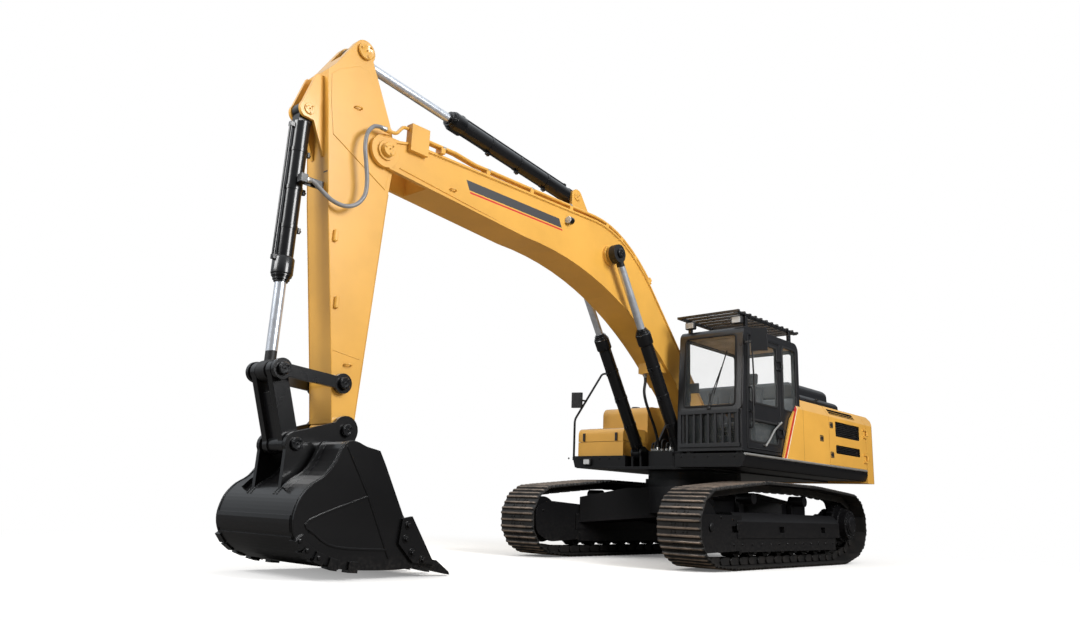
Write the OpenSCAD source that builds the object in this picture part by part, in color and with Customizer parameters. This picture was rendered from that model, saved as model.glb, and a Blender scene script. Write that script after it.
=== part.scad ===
// Crawler excavator of the 36 tonne class with a backhoe front
// Frame: origin on the ground at the swing axis, +X forward, +Y to the operator's left, +Z up

/* [Undercarriage] */
// Distance between the idler and sprocket centres
tumbler_dist = 4030; // [3900:10:4150]
// Distance between the two track centre lines
track_gauge = 2590; // [2540:10:2690]
// Width of a track shoe
shoe_w = 600; // [500:10:700]
// Number of shoes in each track loop
shoe_count = 46; // [44:1:48]
// Radius of the loop at its ends, to the inner face of the shoes
loop_r = 430; // [415:5:440]
// Thickness of a shoe plate
shoe_t = 16; // [10:1:20]
// Height of a grouser bar above its shoe
grouser_h = 28; // [20:1:34]

/* [Upper structure] */
// Height of the deck's top face
deck_z = 1440; // [1420:5:1460]
// Half width of the upper structure
body_half_w = 1490; // [1470:5:1520]
// Distance of the counterweight's rear face from the swing axis
tail_x = 3330; // [3250:10:3450]
// Height of the side panels' top edge
panel_top_z = 2340; // [2300:10:2400]
// Height of the engine hood above the side panels
hood_h = 420; // [360:10:460]

/* [Cab] */
// Length of the cab, front to rear
cab_l = 1720; // [1660:10:1760]
// Width of the cab
cab_w = 980; // [940:10:985]
// Height of the cab's roof above the ground
cab_top_z = 3140; // [3080:10:3200]
// Thickness of the cab's walls and door
cab_wall = 45; // [35:1:55]

/* [Boom] */
// Height of the boom's foot pin
boom_foot_z = 2030; // [2000:10:2060]
// Distance of the nose pin ahead of the foot pin
boom_reach = 6110; // [5900:10:6300]
// Width of the boom over its flange plates
boom_w = 470; // [440:5:480]

/* [Arm] */
// Distance from the boom's nose pin down to the bucket pin
arm_drop = 2860; // [2835:5:2865]
// Width of the arm
arm_w = 360; // [340:5:364]

/* [Bucket] */
// Width of the bucket over its side plates
bucket_w = 1280; // [1150:10:1450]
// Number of teeth on the bucket's lip
tooth_count = 5; // [4:1:6]

/* [Cylinders] */
// Outer radius of a boom cylinder's barrel
boom_barrel_r = 88; // [78:1:90]
// Outer radius of the arm cylinder's barrel
arm_barrel_r = 96; // [86:1:100]
// Outer radius of the bucket cylinder's barrel
bucket_barrel_r = 84; // [76:1:88]
// Radius of the piston rods
rod_r = 52; // [44:1:56]

/* [Hidden] */

paint = [0.93, 0.65, 0.12];
dark = [0.13, 0.13, 0.14];
steel = [0.75, 0.76, 0.78];
glass = [0.75, 0.85, 0.88, 0.4];

// Running gap at pins and rods, gap between faces that slide, and shut gap of doors
pin_gap = 0.1;
face_gap = 0.3;
shut_gap = 8;
// Hinge pins and the knuckles round them
hinge_r = 10;
knuckle_r = 20;

// Track loop: guide circles [x, z, r] of the shoes' inner face, in the order of travel
outer_t = shoe_t + grouser_h;
idler_x = tumbler_dist / 2;
idler_z = loop_r + 75;
sprocket_z = loop_r + 135;
guide_r = 120;
guide_x = idler_x - 380;
carrier_x = 760;
carrier_z = idler_z + loop_r + 125 - guide_r;
loop_circles = [[-guide_x, outer_t + guide_r, guide_r], [guide_x, outer_t + guide_r, guide_r],
    [idler_x, idler_z, loop_r], [carrier_x, carrier_z, guide_r],
    [-carrier_x, carrier_z, guide_r], [-idler_x, sprocket_z, loop_r]];
chain_h = 100;
chain_w = 190;
track_y = track_gauge / 2;

// Tangent of a belt from circle a to circle b: angle of its outward normal
function tangent_angle(a, b) =
    atan2(b[1] - a[1], b[0] - a[0]) - acos((a[2] - b[2]) / norm([b[0] - a[0], b[1] - a[1]]));
loop_n = len(loop_circles);
leave_angle = [for (i = [0 : loop_n - 1]) tangent_angle(loop_circles[i], loop_circles[(i + 1) % loop_n])];
function on_circle(c, a) = [c[0] + c[2] * cos(a), c[1] + c[2] * sin(a)];
function turn_of(i) = (leave_angle[i] - leave_angle[(i + loop_n - 1) % loop_n] + 720) % 360;
arc_len = [for (i = [0 : loop_n - 1]) loop_circles[i][2] * turn_of(i) * PI / 180];
run_len = [for (i = [0 : loop_n - 1]) norm(on_circle(loop_circles[(i + 1) % loop_n], leave_angle[i])
    - on_circle(loop_circles[i], leave_angle[i]))];
// Path length at the start of each circle's arc
arc_start = [for (i = 0, s = 0; i < loop_n; s = s + arc_len[i] + run_len[i], i = i + 1) s];
loop_len = arc_start[loop_n - 1] + arc_len[loop_n - 1] + run_len[loop_n - 1];
function piece_at(s) = max([for (i = [0 : loop_n - 1]) arc_start[i] <= s ? i : 0]);
function loop_point(s, i) = s - arc_start[i] < arc_len[i]
    ? on_circle(loop_circles[i], leave_angle[i] - turn_of(i)
        + (s - arc_start[i]) / loop_circles[i][2] * 180 / PI)
    : on_circle(loop_circles[i], leave_angle[i])
        + (s - arc_start[i] - arc_len[i]) * [-sin(leave_angle[i]), cos(leave_angle[i])];
shoe_pitch = loop_len / shoe_count;
shoe_ends = [for (k = [0 : shoe_count - 1]) loop_point(k * shoe_pitch, piece_at(k * shoe_pitch))];
// Inner edge of the belt at depth d below the shoes' inner face
function inset_loop(d) = [for (k = [0 : shoe_count - 1])
    let (a = shoe_ends[(k + shoe_count - 1) % shoe_count], b = shoe_ends[(k + 1) % shoe_count],
        t = (b - a) / norm(b - a)) shoe_ends[k] - d * [t[1], -t[0]]];
// One shoe's outer edge: three grouser bars, as [share of the pitch, height over the inner face]
bar_foot = 0.085;
bar_tip = 0.05;
shoe_profile = concat([[0, shoe_t * 0.4]], [for (u = [0.12, 0.5, 0.88], e = [0 : 3])
    [u + [-bar_foot, -bar_tip, bar_tip, bar_foot][e], e == 0 || e == 3 ? shoe_t : outer_t]]);
belt_outer = [for (k = [0 : shoe_count - 1], p = shoe_profile)
    let (a = shoe_ends[k], b = shoe_ends[(k + 1) % shoe_count], t = (b - a) / norm(b - a))
    a + (b - a) * p[0] + p[1] * [t[1], -t[0]]];
half_shoe = asin(shoe_pitch / 2 / loop_r);
wheel_r = loop_r * cos(half_shoe) - chain_h - 4;
roller_r = 92;
roller_z = outer_t + chain_h + roller_r + face_gap;
roller_count = 8;
axle_r = 60;
beam_half_w = 185;
beam_low = 375;
beam_high = 690;
beam_front = idler_x - 620;
beam_rear = -idler_x + 330;

// Swing bearing
bearing_r = 720;
bearing_split = 1130;
frame_low = 1240;
frame_plate = 40;
skirt_low = 1270;
counterweight_l = 430;
rail_x0 = counterweight_l - tail_x;
rail_x1 = 1210;
deck_x1 = 1040;

// Front linkage pins as [x, z] in the stored pose
foot_pin = [130, boom_foot_z];
nose_pin = foot_pin + [boom_reach, 2120];
hose_r = 21;
ram_pin = foot_pin + [2340, 1950];
ram_foot = [920, deck_z + 40];
arm_ram_foot = foot_pin + [2900, 2640];
tail_pin = nose_pin + [320, 990];
bucket_ram_foot = nose_pin + [840, 170];
bucket_pin = nose_pin + [190, -arm_drop];
rocker_pin = bucket_pin + [70, 430];
crank_pin = bucket_pin + [710, 480];
link_pin = bucket_pin + [510, -160];
// Port of the free hose on the arm, beside the bucket cylinder
hose_port = [nose_pin[0] + 820, 150, nose_pin[1] - 560];

// Ports of the boom's hoses, on the frame and under the boom
valve_port = [800, deck_z + 70];
belly_port = foot_pin + [1000, 560];

// Half widths across the machine of the linkage's layers
boom_half = boom_w / 2;
boom_boss = boom_half + 58;
tower_in = boom_boss + 6;
tower_t = 34;
ram_y = boom_boss + 62;
ram_eye = 50;
fork_in = arm_w / 2 + 7;
ear_in = arm_w / 2 + 14;
ear_t = 46;
link_in = 92;
link_out = arm_w / 2 - 12;
rod_eye = 72;
arm_eye_r = 108;
eye_half = 62;
lug_in = eye_half + 6;
lug_t = 38;
foot_r = 58;
nose_r = 62;
bucket_pin_r = 46;
ram_pin_r = 48;

// Cab
cab_x1 = 1190;
cab_x0 = cab_x1 - cab_l;
cab_y1 = 1455;
cab_y0 = cab_y1 - cab_w;
cab_z0 = deck_z + 30;
cab_rake = 80;
roof_t = 60;
roof_z = cab_top_z - roof_t;
sill_z = 2060;
head_z = roof_z - 50;
pillar = 95;
door_x0 = 90;
door_x1 = cab_x1 - 130;
door_low = cab_z0 + 45;
hinge = [door_x0 - 30, cab_y1 + 22];
door_hinge_z = [1750, 2700];

// Points of an arc about c, and of a quadratic curve through its control point
function arc_pts(c, r, a0, a1, n) = [for (i = [0 : n]) c + r * [cos(a0 + (a1 - a0) * i / n),
    sin(a0 + (a1 - a0) * i / n)]];
function curve_pts(a, b, c, n) = [for (i = [0 : n]) let (t = i / n)
    (1 - t) * (1 - t) * a + 2 * t * (1 - t) * b + t * t * c];
function lifted(pts, d) = [for (p = pts) p + [0, d]];
function unit(v) = v / norm(v);
// Smooth curve through the points of a route, with steps between each two
function between(a, b, c, d, t) = 0.5 * (2 * b + (c - a) * t + (2 * a - 5 * b + 4 * c - d) * t * t
    + (3 * b - a - 3 * c + d) * t * t * t);
function smooth_route(r, steps) = concat([for (i = [0 : len(r) - 2], k = [0 : steps - 1])
    between(r[max(i - 1, 0)], r[i], r[i + 1], r[min(i + 2, len(r) - 1)], k / steps)], [r[len(r) - 1]]);
// A line in a plane moved sideways by d, to the left of its way
function beside(pts, d) = [for (i = [0 : len(pts) - 1])
    let (t = unit(pts[min(i + 1, len(pts) - 1)] - pts[max(i - 1, 0)])) pts[i] + d * [-t[1], t[0]]];
// Outline of a strip of width w along a line
function strip(pts, w) = concat(beside(pts, w / 2), reversed(beside(pts, -w / 2)));
function reversed(pts) = [for (i = [len(pts) - 1 : -1 : 0]) pts[i]];

// Block between two corners
module block(a, b) {
    translate(a) cube(b - a);
}

// Side profile in x and z, drawn out between two y values
module across(y0, y1) {
    translate([0, y1, 0]) rotate([90, 0, 0]) linear_extrude(y1 - y0) children();
}

// Cross profile in y and z, drawn out between two x values
module along(x0, x1) {
    translate([x0, 0, 0]) rotate([90, 0, 90]) linear_extrude(x1 - x0) children();
}

// Round bar across the machine at p = [x, z]
module pin(p, r, y0, y1) {
    translate([p[0], y1, p[1]]) rotate([90, 0, 0]) cylinder(r = r, h = y1 - y0, $fn = 48);
}

// Upright hinge post at [x, y], from z0 to z1
module post(p, r, z0, z1) {
    translate([p[0], p[1], z0]) cylinder(r = r, h = z1 - z0, $fn = 24);
}

// The same piece on both sides of the centre plane
module both_sides() {
    children();
    mirror([0, 1, 0]) children();
}

// Rectangle with round corners
module round_rect(a, b, r) {
    translate([a[0] + r, a[1]]) square([b[0] - a[0] - 2 * r, b[1] - a[1]]);
    translate([a[0], a[1] + r]) square([b[0] - a[0], b[1] - a[1] - 2 * r]);
    for (x = [a[0] + r, b[0] - r], y = [a[1] + r, b[1] - r])
        translate([x, y]) circle(r = r, $fn = 24);
}

// Route with each inner corner rounded off over the length b on both sides
function bent(pts, b) = concat([pts[0]], [for (i = [1 : len(pts) - 2]) each
    curve_pts(pts[i] + b * unit(pts[i - 1] - pts[i]), pts[i], pts[i] + b * unit(pts[i + 1] - pts[i]), 3)],
    [pts[len(pts) - 1]]);

// Round bar of radius r swept along a route that nowhere runs along the direction ref
module swept(path, r, sides, ref) {
    n = len(path);
    points = [for (i = [0 : n - 1], k = [0 : sides - 1])
        let (t = unit(path[min(i + 1, n - 1)] - path[max(i - 1, 0)]),
            u = unit(cross(t, ref)), v = cross(t, u))
        path[i] + r * (cos(360 * k / sides) * u + sin(360 * k / sides) * v)];
    faces = concat([[for (k = [0 : sides - 1]) k]], [[for (k = [sides - 1 : -1 : 0]) (n - 1) * sides + k]],
        [for (i = [0 : n - 2], k = [0 : sides - 1])
            [i * sides + k, (i + 1) * sides + k,
                (i + 1) * sides + (k + 1) % sides, i * sides + (k + 1) % sides]]);
    polyhedron(points, faces);
}

// Bent bar or rail
module pipe(pts, r, ref) {
    swept(bent(pts, 3 * r), r, 8, ref);
}

// Undercarriage

module track() {
    across(track_y - shoe_w / 2, track_y + shoe_w / 2)
        difference() {
            polygon(belt_outer);
            polygon(inset_loop(0));
        }
    across(track_y - chain_w / 2, track_y + chain_w / 2)
        difference() {
            polygon(inset_loop(-shoe_t * 0.3));
            polygon(inset_loop(chain_h));
        }
}

module left_track() {
    color(dark) track();
}

module right_track() {
    color(dark) mirror([0, 1, 0]) track();
}

// Flanged roller on an axle across the track
module roller(x, z, r) {
    pin([x, z], r, track_y - 90, track_y + 90);
    for (e = [-1, 1])
        pin([x, z], r * 0.62, track_y + min(e * 90, e * 150), track_y + max(e * 90, e * 150));
}

module track_frame() {
    step_w = 150;
    step_z = (beam_low + beam_high) / 2 - 90;
    difference() {
        union() {
            along(beam_rear, beam_front)
                translate([track_y, 0])
                    polygon([[-beam_half_w, beam_low], [beam_half_w, beam_low],
                        [beam_half_w, beam_high - 110], [90, beam_high], [-90, beam_high],
                        [-beam_half_w, beam_high - 110]]);
            // Roller guard skirts under the beam
            for (e = [-1, 1])
                block([beam_rear + 120, track_y + e * 160 - 12, roller_z - 30],
                    [beam_front - 60, track_y + e * 160 + 12, beam_low + 10]);
            // Idler yoke and its outer guard
            for (e = [-1, 1])
                across(track_y + e * 135 - 22, track_y + e * 135 + 22)
                    polygon([[beam_front - 40, beam_low], [idler_x + 90, idler_z - 100],
                        [idler_x + 90, idler_z + 100], [beam_front - 40, beam_high - 120]]);
            // Sprocket carrier plate on the inner side
            across(track_y - beam_half_w, track_y - beam_half_w + 50)
                polygon(concat([[beam_rear + 200, beam_low]], [[beam_rear + 200, beam_high - 110]],
                    arc_pts([-idler_x, sprocket_z], 235, 70, 290, 12)));
            // Carrier roller posts
            for (x = [-carrier_x, carrier_x])
                block([x - 55, track_y - 165, beam_high - 90],
                    [x + 55, track_y - 105, carrier_z + guide_r - chain_h - 75]);
            // Guard plate outside the idler
            across(track_y + 156, track_y + 176)
                polygon([[beam_front - 120, beam_low - 150], [idler_x + 150, idler_z - 300],
                    [idler_x + 330, idler_z - 120], [idler_x + 330, idler_z + 90],
                    [idler_x + 240, idler_z + 150], [beam_front - 120, idler_z + 150]]);
        }
        for (e = [-1, 1])
            pin([idler_x, idler_z], axle_r + pin_gap, track_y + e * 135 - 30, track_y + e * 135 + 30);
        pin([-idler_x, sprocket_z], 150, track_y - beam_half_w - 5, track_y - beam_half_w + 60);
        // Steps cut into the outer face
        for (x = [-0.55, 0.1, 0.72])
            block([x * idler_x - step_w / 2, track_y + beam_half_w - 60, step_z],
                [x * idler_x + step_w / 2, track_y + beam_half_w + 5, step_z + 80]);
    }
    for (i = [0 : roller_count - 1]) {
        x = beam_rear + 265 + (beam_front - beam_rear - 385) * i / (roller_count - 1);
        roller(x, roller_z, roller_r);
    }
    for (x = [-carrier_x, carrier_x])
        pin([x, carrier_z + guide_r - chain_h - 85], 72, track_y - 150, track_y + 80);
}

module left_track_frame() {
    color(dark) track_frame();
}

module right_track_frame() {
    color(dark) mirror([0, 1, 0]) track_frame();
}

module idler() {
    pin([idler_x, idler_z], wheel_r, track_y - 80, track_y + 80);
    pin([idler_x, idler_z], axle_r, track_y - 165, track_y + 165);
}

module left_idler() {
    color(dark) idler();
}

module right_idler() {
    color(dark) mirror([0, 1, 0]) idler();
}

module final_drive() {
    tooth_n = 21;
    centre = [-idler_x, sprocket_z];
    across(track_y - 45, track_y + 45)
        polygon([for (i = [0 : tooth_n - 1], e = [0 : 3]) centre
            + (e < 2 ? wheel_r : wheel_r - 34) * [cos((i + e * 0.25) * 360 / tooth_n),
                sin((i + e * 0.25) * 360 / tooth_n)]]);
    pin(centre, 250, track_y + 40, track_y + 120);
    pin(centre, 215, track_y + 110, track_y + 225);
    pin(centre, 150, track_y + 220, track_y + 240);
    pin(centre, 149.7, track_y - 330, track_y - 40);
    pin(centre, 195, track_y - beam_half_w + 50, track_y - 40);
}

module left_final_drive() {
    color(dark) final_drive();
}

module right_final_drive() {
    color(dark) mirror([0, 1, 0]) final_drive();
}

module car_body() {
    leg_low = 470;
    leg_side = track_y - beam_half_w;
    color(dark) {
        translate([0, 0, 640]) cylinder(r = bearing_r + 60, h = 370, $fn = 96);
        translate([0, 0, 1000]) cylinder(r = bearing_r, h = bearing_split - 1000, $fn = 96);
        // Four box legs that slope down to the track frames
        intersection() {
            both_sides()
                along(-1400, 1400)
                    polygon([[0, 600], [420, 560], [leg_side, leg_low],
                        [leg_side, 830], [560, 985], [0, 985]]);
            translate([0, 0, leg_low])
                linear_extrude(600)
                    for (sx = [-1, 1], sy = [-1, 1])
                        polygon([[0, 0], [sx * 420, -sy * 60], [sx * 1330, sy * leg_side],
                            [sx * 560, sy * leg_side], [0, sy * 480]]);
        }
    }
}

// Upper structure

module main_frame() {
    color(dark)
    difference() {
        union() {
            translate([0, 0, bearing_split + face_gap])
                cylinder(r = bearing_r - 40, h = frame_low - bearing_split, $fn = 96);
            block([rail_x0 + 20, -820, frame_low], [1060, 820, frame_low + frame_plate]);
            // Side decks with their skirts
            for (e = [0, 1]) mirror([0, e, 0]) {
                block([rail_x0, 800, frame_low + 20], [e == 0 ? rail_x1 : deck_x1, body_half_w - 60, deck_z]);
                along(rail_x0, e == 0 ? rail_x1 : deck_x1)
                    polygon([[body_half_w - 70, skirt_low], [body_half_w - 30, skirt_low],
                        [body_half_w, skirt_low + 90], [body_half_w, deck_z - 25],
                        [body_half_w - 25, deck_z], [body_half_w - 70, deck_z]]);
            }
            block([cab_x0 - 60, 440, frame_low + 20], [rail_x1, 810, deck_z]);
            block([-300, -810, frame_low + 20], [deck_x1, -520, deck_z]);
            // Boom towers
            both_sides() {
                across(tower_in, tower_in + tower_t)
                    polygon(concat([[-1400, frame_low + 10], [700, frame_low + 10], [640, deck_z + 40]],
                        arc_pts(foot_pin, 165, -25, 150, 12), [[-560, deck_z + 60], [-1400, deck_z]]));
                // Lugs of the boom cylinders
                for (y = [ram_y - ram_eye - 6 - tower_t, ram_y + ram_eye + 6])
                    across(y, y + tower_t * 0.9)
                        polygon(concat([[560, frame_low + 10], [ram_foot[0] + 70, frame_low + 10]],
                            arc_pts(ram_foot, 92, -35, 140, 10), [[560, deck_z - 60]]));
            }
            block([-1300, -tower_in - 5, frame_low + 30], [-1260, tower_in + 5, deck_z - 40]);
            // Valve block that feeds the boom's hoses
            block([valve_port[0] - 90, -210, frame_low + 30], [valve_port[0] + 90, 210, valve_port[1]]);
            pin(foot_pin, foot_r, -tower_in - tower_t - 22, tower_in + tower_t + 22);
            both_sides()
                pin(ram_foot, ram_pin_r, ram_y - ram_eye - 6 - tower_t, ram_y + ram_eye + 6 + tower_t * 0.9);
        }
        // Lashing holes through the rear corners of the frame
        for (e = [-1, 1])
            translate([rail_x0 + 60, e * 700, frame_low - 5])
                cylinder(r = 30, h = frame_plate + 10, $fn = 32);
    }
}

// Outer skin of the body sides as [y, z]: upright wall and a sloped shoulder
skin_t = 26;
shoulder_z = panel_top_z - 165;
shoulder_in = 105;
function side_skin(low) = [[body_half_w, low], [body_half_w, shoulder_z],
    [body_half_w - shoulder_in, panel_top_z], [body_half_w - shoulder_in - skin_t, panel_top_z - 18],
    [body_half_w - skin_t, shoulder_z - 8], [body_half_w - skin_t, low]];
panel_split = -1440;
panel_rear = rail_x0 + 14;

// Ends of the engine bay
bay_x0 = rail_x0 + 200;
bay_x1 = panel_split - 120;

// Axis of the side doors' hinges as [x, y], and the heights of their knuckles
side_hinge = [rail_x0 + 4, body_half_w + 14];
side_hinge_z = [deck_z + 150, shoulder_z - 180];
knuckle_h = 70;

module counterweight() {
    front = rail_x0 - face_gap;
    corner = 200;
    color(paint) {
        difference() {
            translate([0, 0, frame_low - 10]) linear_extrude(panel_top_z - frame_low + 10) {
                translate([-tail_x + corner, -body_half_w])
                    square([front + tail_x - corner, 2 * body_half_w]);
                translate([-tail_x, -body_half_w + corner])
                    square([corner + 10, 2 * (body_half_w - corner)]);
                for (e = [-1, 1])
                    translate([-tail_x + corner, e * (body_half_w - corner)])
                        circle(r = corner, $fn = 48);
            }
            // Rear underside rises and the top edge falls to the rear
            across(-body_half_w - 10, body_half_w + 10) {
                polygon([[-tail_x - 10, frame_low - 20], [-tail_x + 160, frame_low - 20],
                    [-tail_x - 10, frame_low + 190]]);
                polygon([[-tail_x - 10, panel_top_z + 10], [-tail_x + 130, panel_top_z + 10],
                    [-tail_x - 10, panel_top_z - 120]]);
            }
            // Shoulders lean in to the panels' slope
            both_sides()
                along(-tail_x - 10, front + 10)
                    polygon([[body_half_w + 10, shoulder_z - 16], [body_half_w + 10, panel_top_z + 10],
                        [body_half_w - shoulder_in - 7, panel_top_z + 10]]);
            // Lifting sockets
            for (e = [-1, 1])
                translate([-tail_x + 260, e * 620, panel_top_z - 140]) cylinder(r = 38, h = 200, $fn = 32);
        }
        // Knuckles of the side doors' hinges
        both_sides()
            for (z = side_hinge_z)
                difference() {
                    union() {
                        post(side_hinge, knuckle_r, z, z + knuckle_h);
                        block([front - 70, body_half_w - 4, z],
                            [side_hinge[0], side_hinge[1], z + knuckle_h]);
                    }
                    post(side_hinge, hinge_r + pin_gap, z - 5, z + knuckle_h + 5);
                }
    }
}

// Pins and straps of a side door's hinges
module side_hinge_straps() {
    for (z = side_hinge_z) {
        post(side_hinge, hinge_r, z - 40, z + knuckle_h + 40);
        for (low = [z - 40, z + knuckle_h + 6])
            translate([0, 0, low]) {
                block([side_hinge[0] - 8, body_half_w + 4, 0], [panel_rear + 110, side_hinge[1] + 8, 34]);
                block([panel_rear + 10, body_half_w - 2, 0], [panel_rear + 110, side_hinge[1], 34]);
            }
    }
}

// What a side door leaves free round the counterweight's knuckles
module knuckle_room() {
    for (z = side_hinge_z)
        post(side_hinge, knuckle_r + shut_gap, z - 3, z + knuckle_h + 3);
}

module engine_block() {
    color([0.35, 0.35, 0.36])
        block([bay_x0, -420, frame_low + frame_plate], [bay_x1, 560, 2180]);
}

// Slatted air grille set into an opening of the skin, from [x0, z0] to [x1, z1]
module slats(a, b, n) {
    for (i = [1 : n])
        block([a[0], body_half_w - skin_t, a[1] + (b[1] - a[1]) * i / (n + 1) - 5],
            [b[0], body_half_w - 8, a[1] + (b[1] - a[1]) * i / (n + 1) + 5]);
}

module left_side_panel() {
    color(paint)
    difference() {
        intersection() {
            along(panel_split, 150) polygon(side_skin(deck_z));
            across(body_half_w - 300, body_half_w + 10)
                polygon([[110, deck_z], [-150, 2010], [cab_x0 + 20, panel_top_z + 5],
                    [panel_split, panel_top_z + 5], [panel_split, deck_z]]);
        }
        block([cab_x0 - 8, body_half_w - 300, deck_z - 5], [200, cab_y1 + 6, panel_top_z + 10]);
    }
}

grille_x0 = panel_rear + 266;
grille_x1 = panel_split - 240;

module left_cooler_door() {
    low = deck_z + shut_gap;
    color(paint) {
        difference() {
            along(panel_rear, panel_split - 12) polygon(side_skin(low));
            across(body_half_w - 60, body_half_w + 5) {
                round_rect([grille_x0, 1890], [grille_x1, 2120], 25);
                round_rect([grille_x0, 1630], [grille_x1, 1760], 25);
            }
            block([grille_x0 + 90, body_half_w - 200, shoulder_z + 45],
                [grille_x1 + 140, body_half_w + 5, panel_top_z - 35]);
            knuckle_room();
        }
        // Slats of the shoulder's grille
        for (k = [0 : 2])
            along(grille_x0 + 80, grille_x1 + 150)
                translate([body_half_w - 44 - 24 * k, shoulder_z + 58 + 30 * k])
                    rotate(122) square([6, 16], center = true);
        slats([grille_x0 - 10, 1890], [grille_x1 + 10, 2120], 7);
        slats([grille_x0 - 10, 1630], [grille_x1 + 10, 1760], 4);
        side_hinge_straps();
    }
}

module right_pump_door() {
    low = deck_z + shut_gap;
    color(paint)
    mirror([0, 1, 0]) {
        difference() {
            along(panel_rear, panel_split - 12) polygon(side_skin(low));
            across(body_half_w - 60, body_half_w + 5)
                round_rect([grille_x0, 1890], [grille_x1, 2120], 25);
            knuckle_room();
        }
        slats([grille_x0 - 10, 1890], [grille_x1 + 10, 2120], 7);
        side_hinge_straps();
    }
}

cover_in = body_half_w - shoulder_in - skin_t - shut_gap;

hood_front = panel_split;
hood_rear = rail_x0 + 30;
hood_hinge = [hood_front + 22, panel_top_z + 18];
hood_hinge_y = [-250, 760];

module engine_cover() {
    low = panel_top_z - 28;
    top = panel_top_z - 4;
    color(paint) {
        difference() {
            block([panel_rear, -cover_in, low], [cab_x0 - 40, cover_in, top]);
            block([bay_x0, -860, low - 5], [bay_x1, 860, top + 5]);
            block([panel_split - 5, -cover_in - 5, low - 5], [cab_x0, -400, top + 5]);
        }
        // Bulkheads that carry the cover
        block([panel_split - 40, -300, frame_low + frame_plate], [panel_split - 10, 790, low]);
        block([panel_split - 40, 780, deck_z], [panel_split - 10, cover_in - 80, low]);
        block([panel_rear, -cover_in + 100, deck_z], [panel_rear + 20, cover_in - 100, low]);
        // Knuckles of the hood's hinges
        for (y = hood_hinge_y)
            difference() {
                union() {
                    pin(hood_hinge, knuckle_r, y, y + knuckle_h);
                    block([hood_hinge[0] - knuckle_r, y, top - 4],
                        [hood_hinge[0] + knuckle_r, y + knuckle_h, hood_hinge[1]]);
                }
                pin(hood_hinge, hinge_r + pin_gap, y - 5, y + knuckle_h + 5);
            }
    }
}

module engine_hood() {
    tier = panel_top_z + hood_h * 0.5;
    top = panel_top_z + hood_h;
    low = panel_top_z + 2;
    color(dark) {
        difference() {
            intersection() {
                across(-1100, 1100)
                    polygon(concat([[hood_rear, low], [hood_front, low]],
                        arc_pts([hood_front - 60, top - 60], 60, 0, 90, 5),
                        arc_pts([hood_rear + 210, top - 110], 110, 90, 180, 6),
                        [[hood_rear + 95, tier]], arc_pts([hood_rear + 70, tier - 70], 70, 90, 180, 5)));
                along(hood_rear - 30, hood_front + 10)
                    polygon(concat([[-1050, low], [1050, low]], arc_pts([970, tier - 80], 80, 0, 90, 5),
                        [[905, tier]], arc_pts([800, top - 100], 100, 0, 90, 5),
                        arc_pts([-800, top - 100], 100, 90, 180, 5), [[-905, tier]],
                        arc_pts([-970, tier - 80], 80, 90, 180, 5)));
            }
            block([hood_rear + 30, -1020, low - 5], [hood_front - 30, 1020, tier - 110]);
        }
        // Hinge pins and their arms
        for (y = hood_hinge_y) {
            pin(hood_hinge, hinge_r, y - 40, y + knuckle_h + 40);
            for (start = [y - 40, y + knuckle_h + 6])
                block([hood_front - 5, start, hood_hinge[1] - 8],
                    [hood_hinge[0] + 8, start + 34, hood_hinge[1] + 8]);
        }
    }
}

module fuel_tank() {
    color(paint)
    across(-body_half_w + 8, -620)
        polygon(concat([[330, deck_z], [330, 1900]], arc_pts([210, 2120], 120, 0, 90, 6),
            [[-480, 2240], [-480, deck_z]]));
}

module hydraulic_tank() {
    color(paint)
    across(-body_half_w + 8, -420)
        polygon(concat([[-490, deck_z]], arc_pts([-590, panel_top_z - 100], 100, 0, 90, 6),
            arc_pts([panel_split + 110, panel_top_z - 100], 100, 90, 180, 6), [[panel_split + 10, deck_z]]));
}

box_x0 = 345;
box_x1 = 955;
box_y0 = -body_half_w + 20;
box_y1 = -620;
lid_z = deck_z + 215;
lid_x0 = box_x0 + 32;
box_top = deck_z + 420;
box_t = 20;
lid_hinge = [box_x0 + 14, box_top + 8];
lid_hinge_y = [box_y0 + 130, box_y1 - 200];

module toolbox() {
    color(paint) {
        difference() {
            block([box_x0, box_y0, deck_z], [box_x1, box_y1, lid_z - 2]);
            block([box_x0 + box_t, box_y0 + box_t, deck_z + box_t], [box_x1 - box_t, box_y1 - box_t, lid_z]);
        }
        block([box_x0, box_y0, lid_z - 10], [box_x0 + box_t, box_y1, box_top - 16]);
        for (y = lid_hinge_y)
            difference() {
                union() {
                    pin(lid_hinge, 14, y, y + knuckle_h);
                    block([box_x0, y, box_top - 20], [box_x0 + box_t, y + knuckle_h, lid_hinge[1]]);
                }
                pin(lid_hinge, hinge_r * 0.8 + pin_gap, y - 5, y + knuckle_h + 5);
            }
    }
}

module toolbox_lid() {
    round_r = 90;
    color(paint) {
        difference() {
            across(box_y0, box_y1)
                polygon(concat([[lid_x0, lid_z + 4], [box_x1, lid_z + 4]],
                    arc_pts([box_x1 - round_r, box_top - round_r], round_r, 0, 90, 6), [[lid_x0, box_top]]));
            across(box_y0 + box_t, box_y1 - box_t)
                polygon(concat([[lid_x0 - 5, lid_z], [box_x1 - box_t, lid_z]],
                    arc_pts([box_x1 - round_r, box_top - round_r], round_r - box_t, 0, 90, 6),
                    [[lid_x0 - 5, box_top - box_t]]));
        }
        for (y = lid_hinge_y) {
            pin(lid_hinge, hinge_r * 0.8, y - 30, y + knuckle_h + 30);
            for (start = [y - 30, y + knuckle_h + 5])
                block([lid_hinge[0] - 6, start, box_top - 4], [lid_x0 + 40, start + 25, box_top + 14]);
        }
    }
    // Latches on the front face
    color(dark)
    for (y = [box_y0 + 120, box_y1 - 120])
        block([box_x1, y - 18, lid_z + 10], [box_x1 + 22, y + 18, lid_z + 130]);
}

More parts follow.
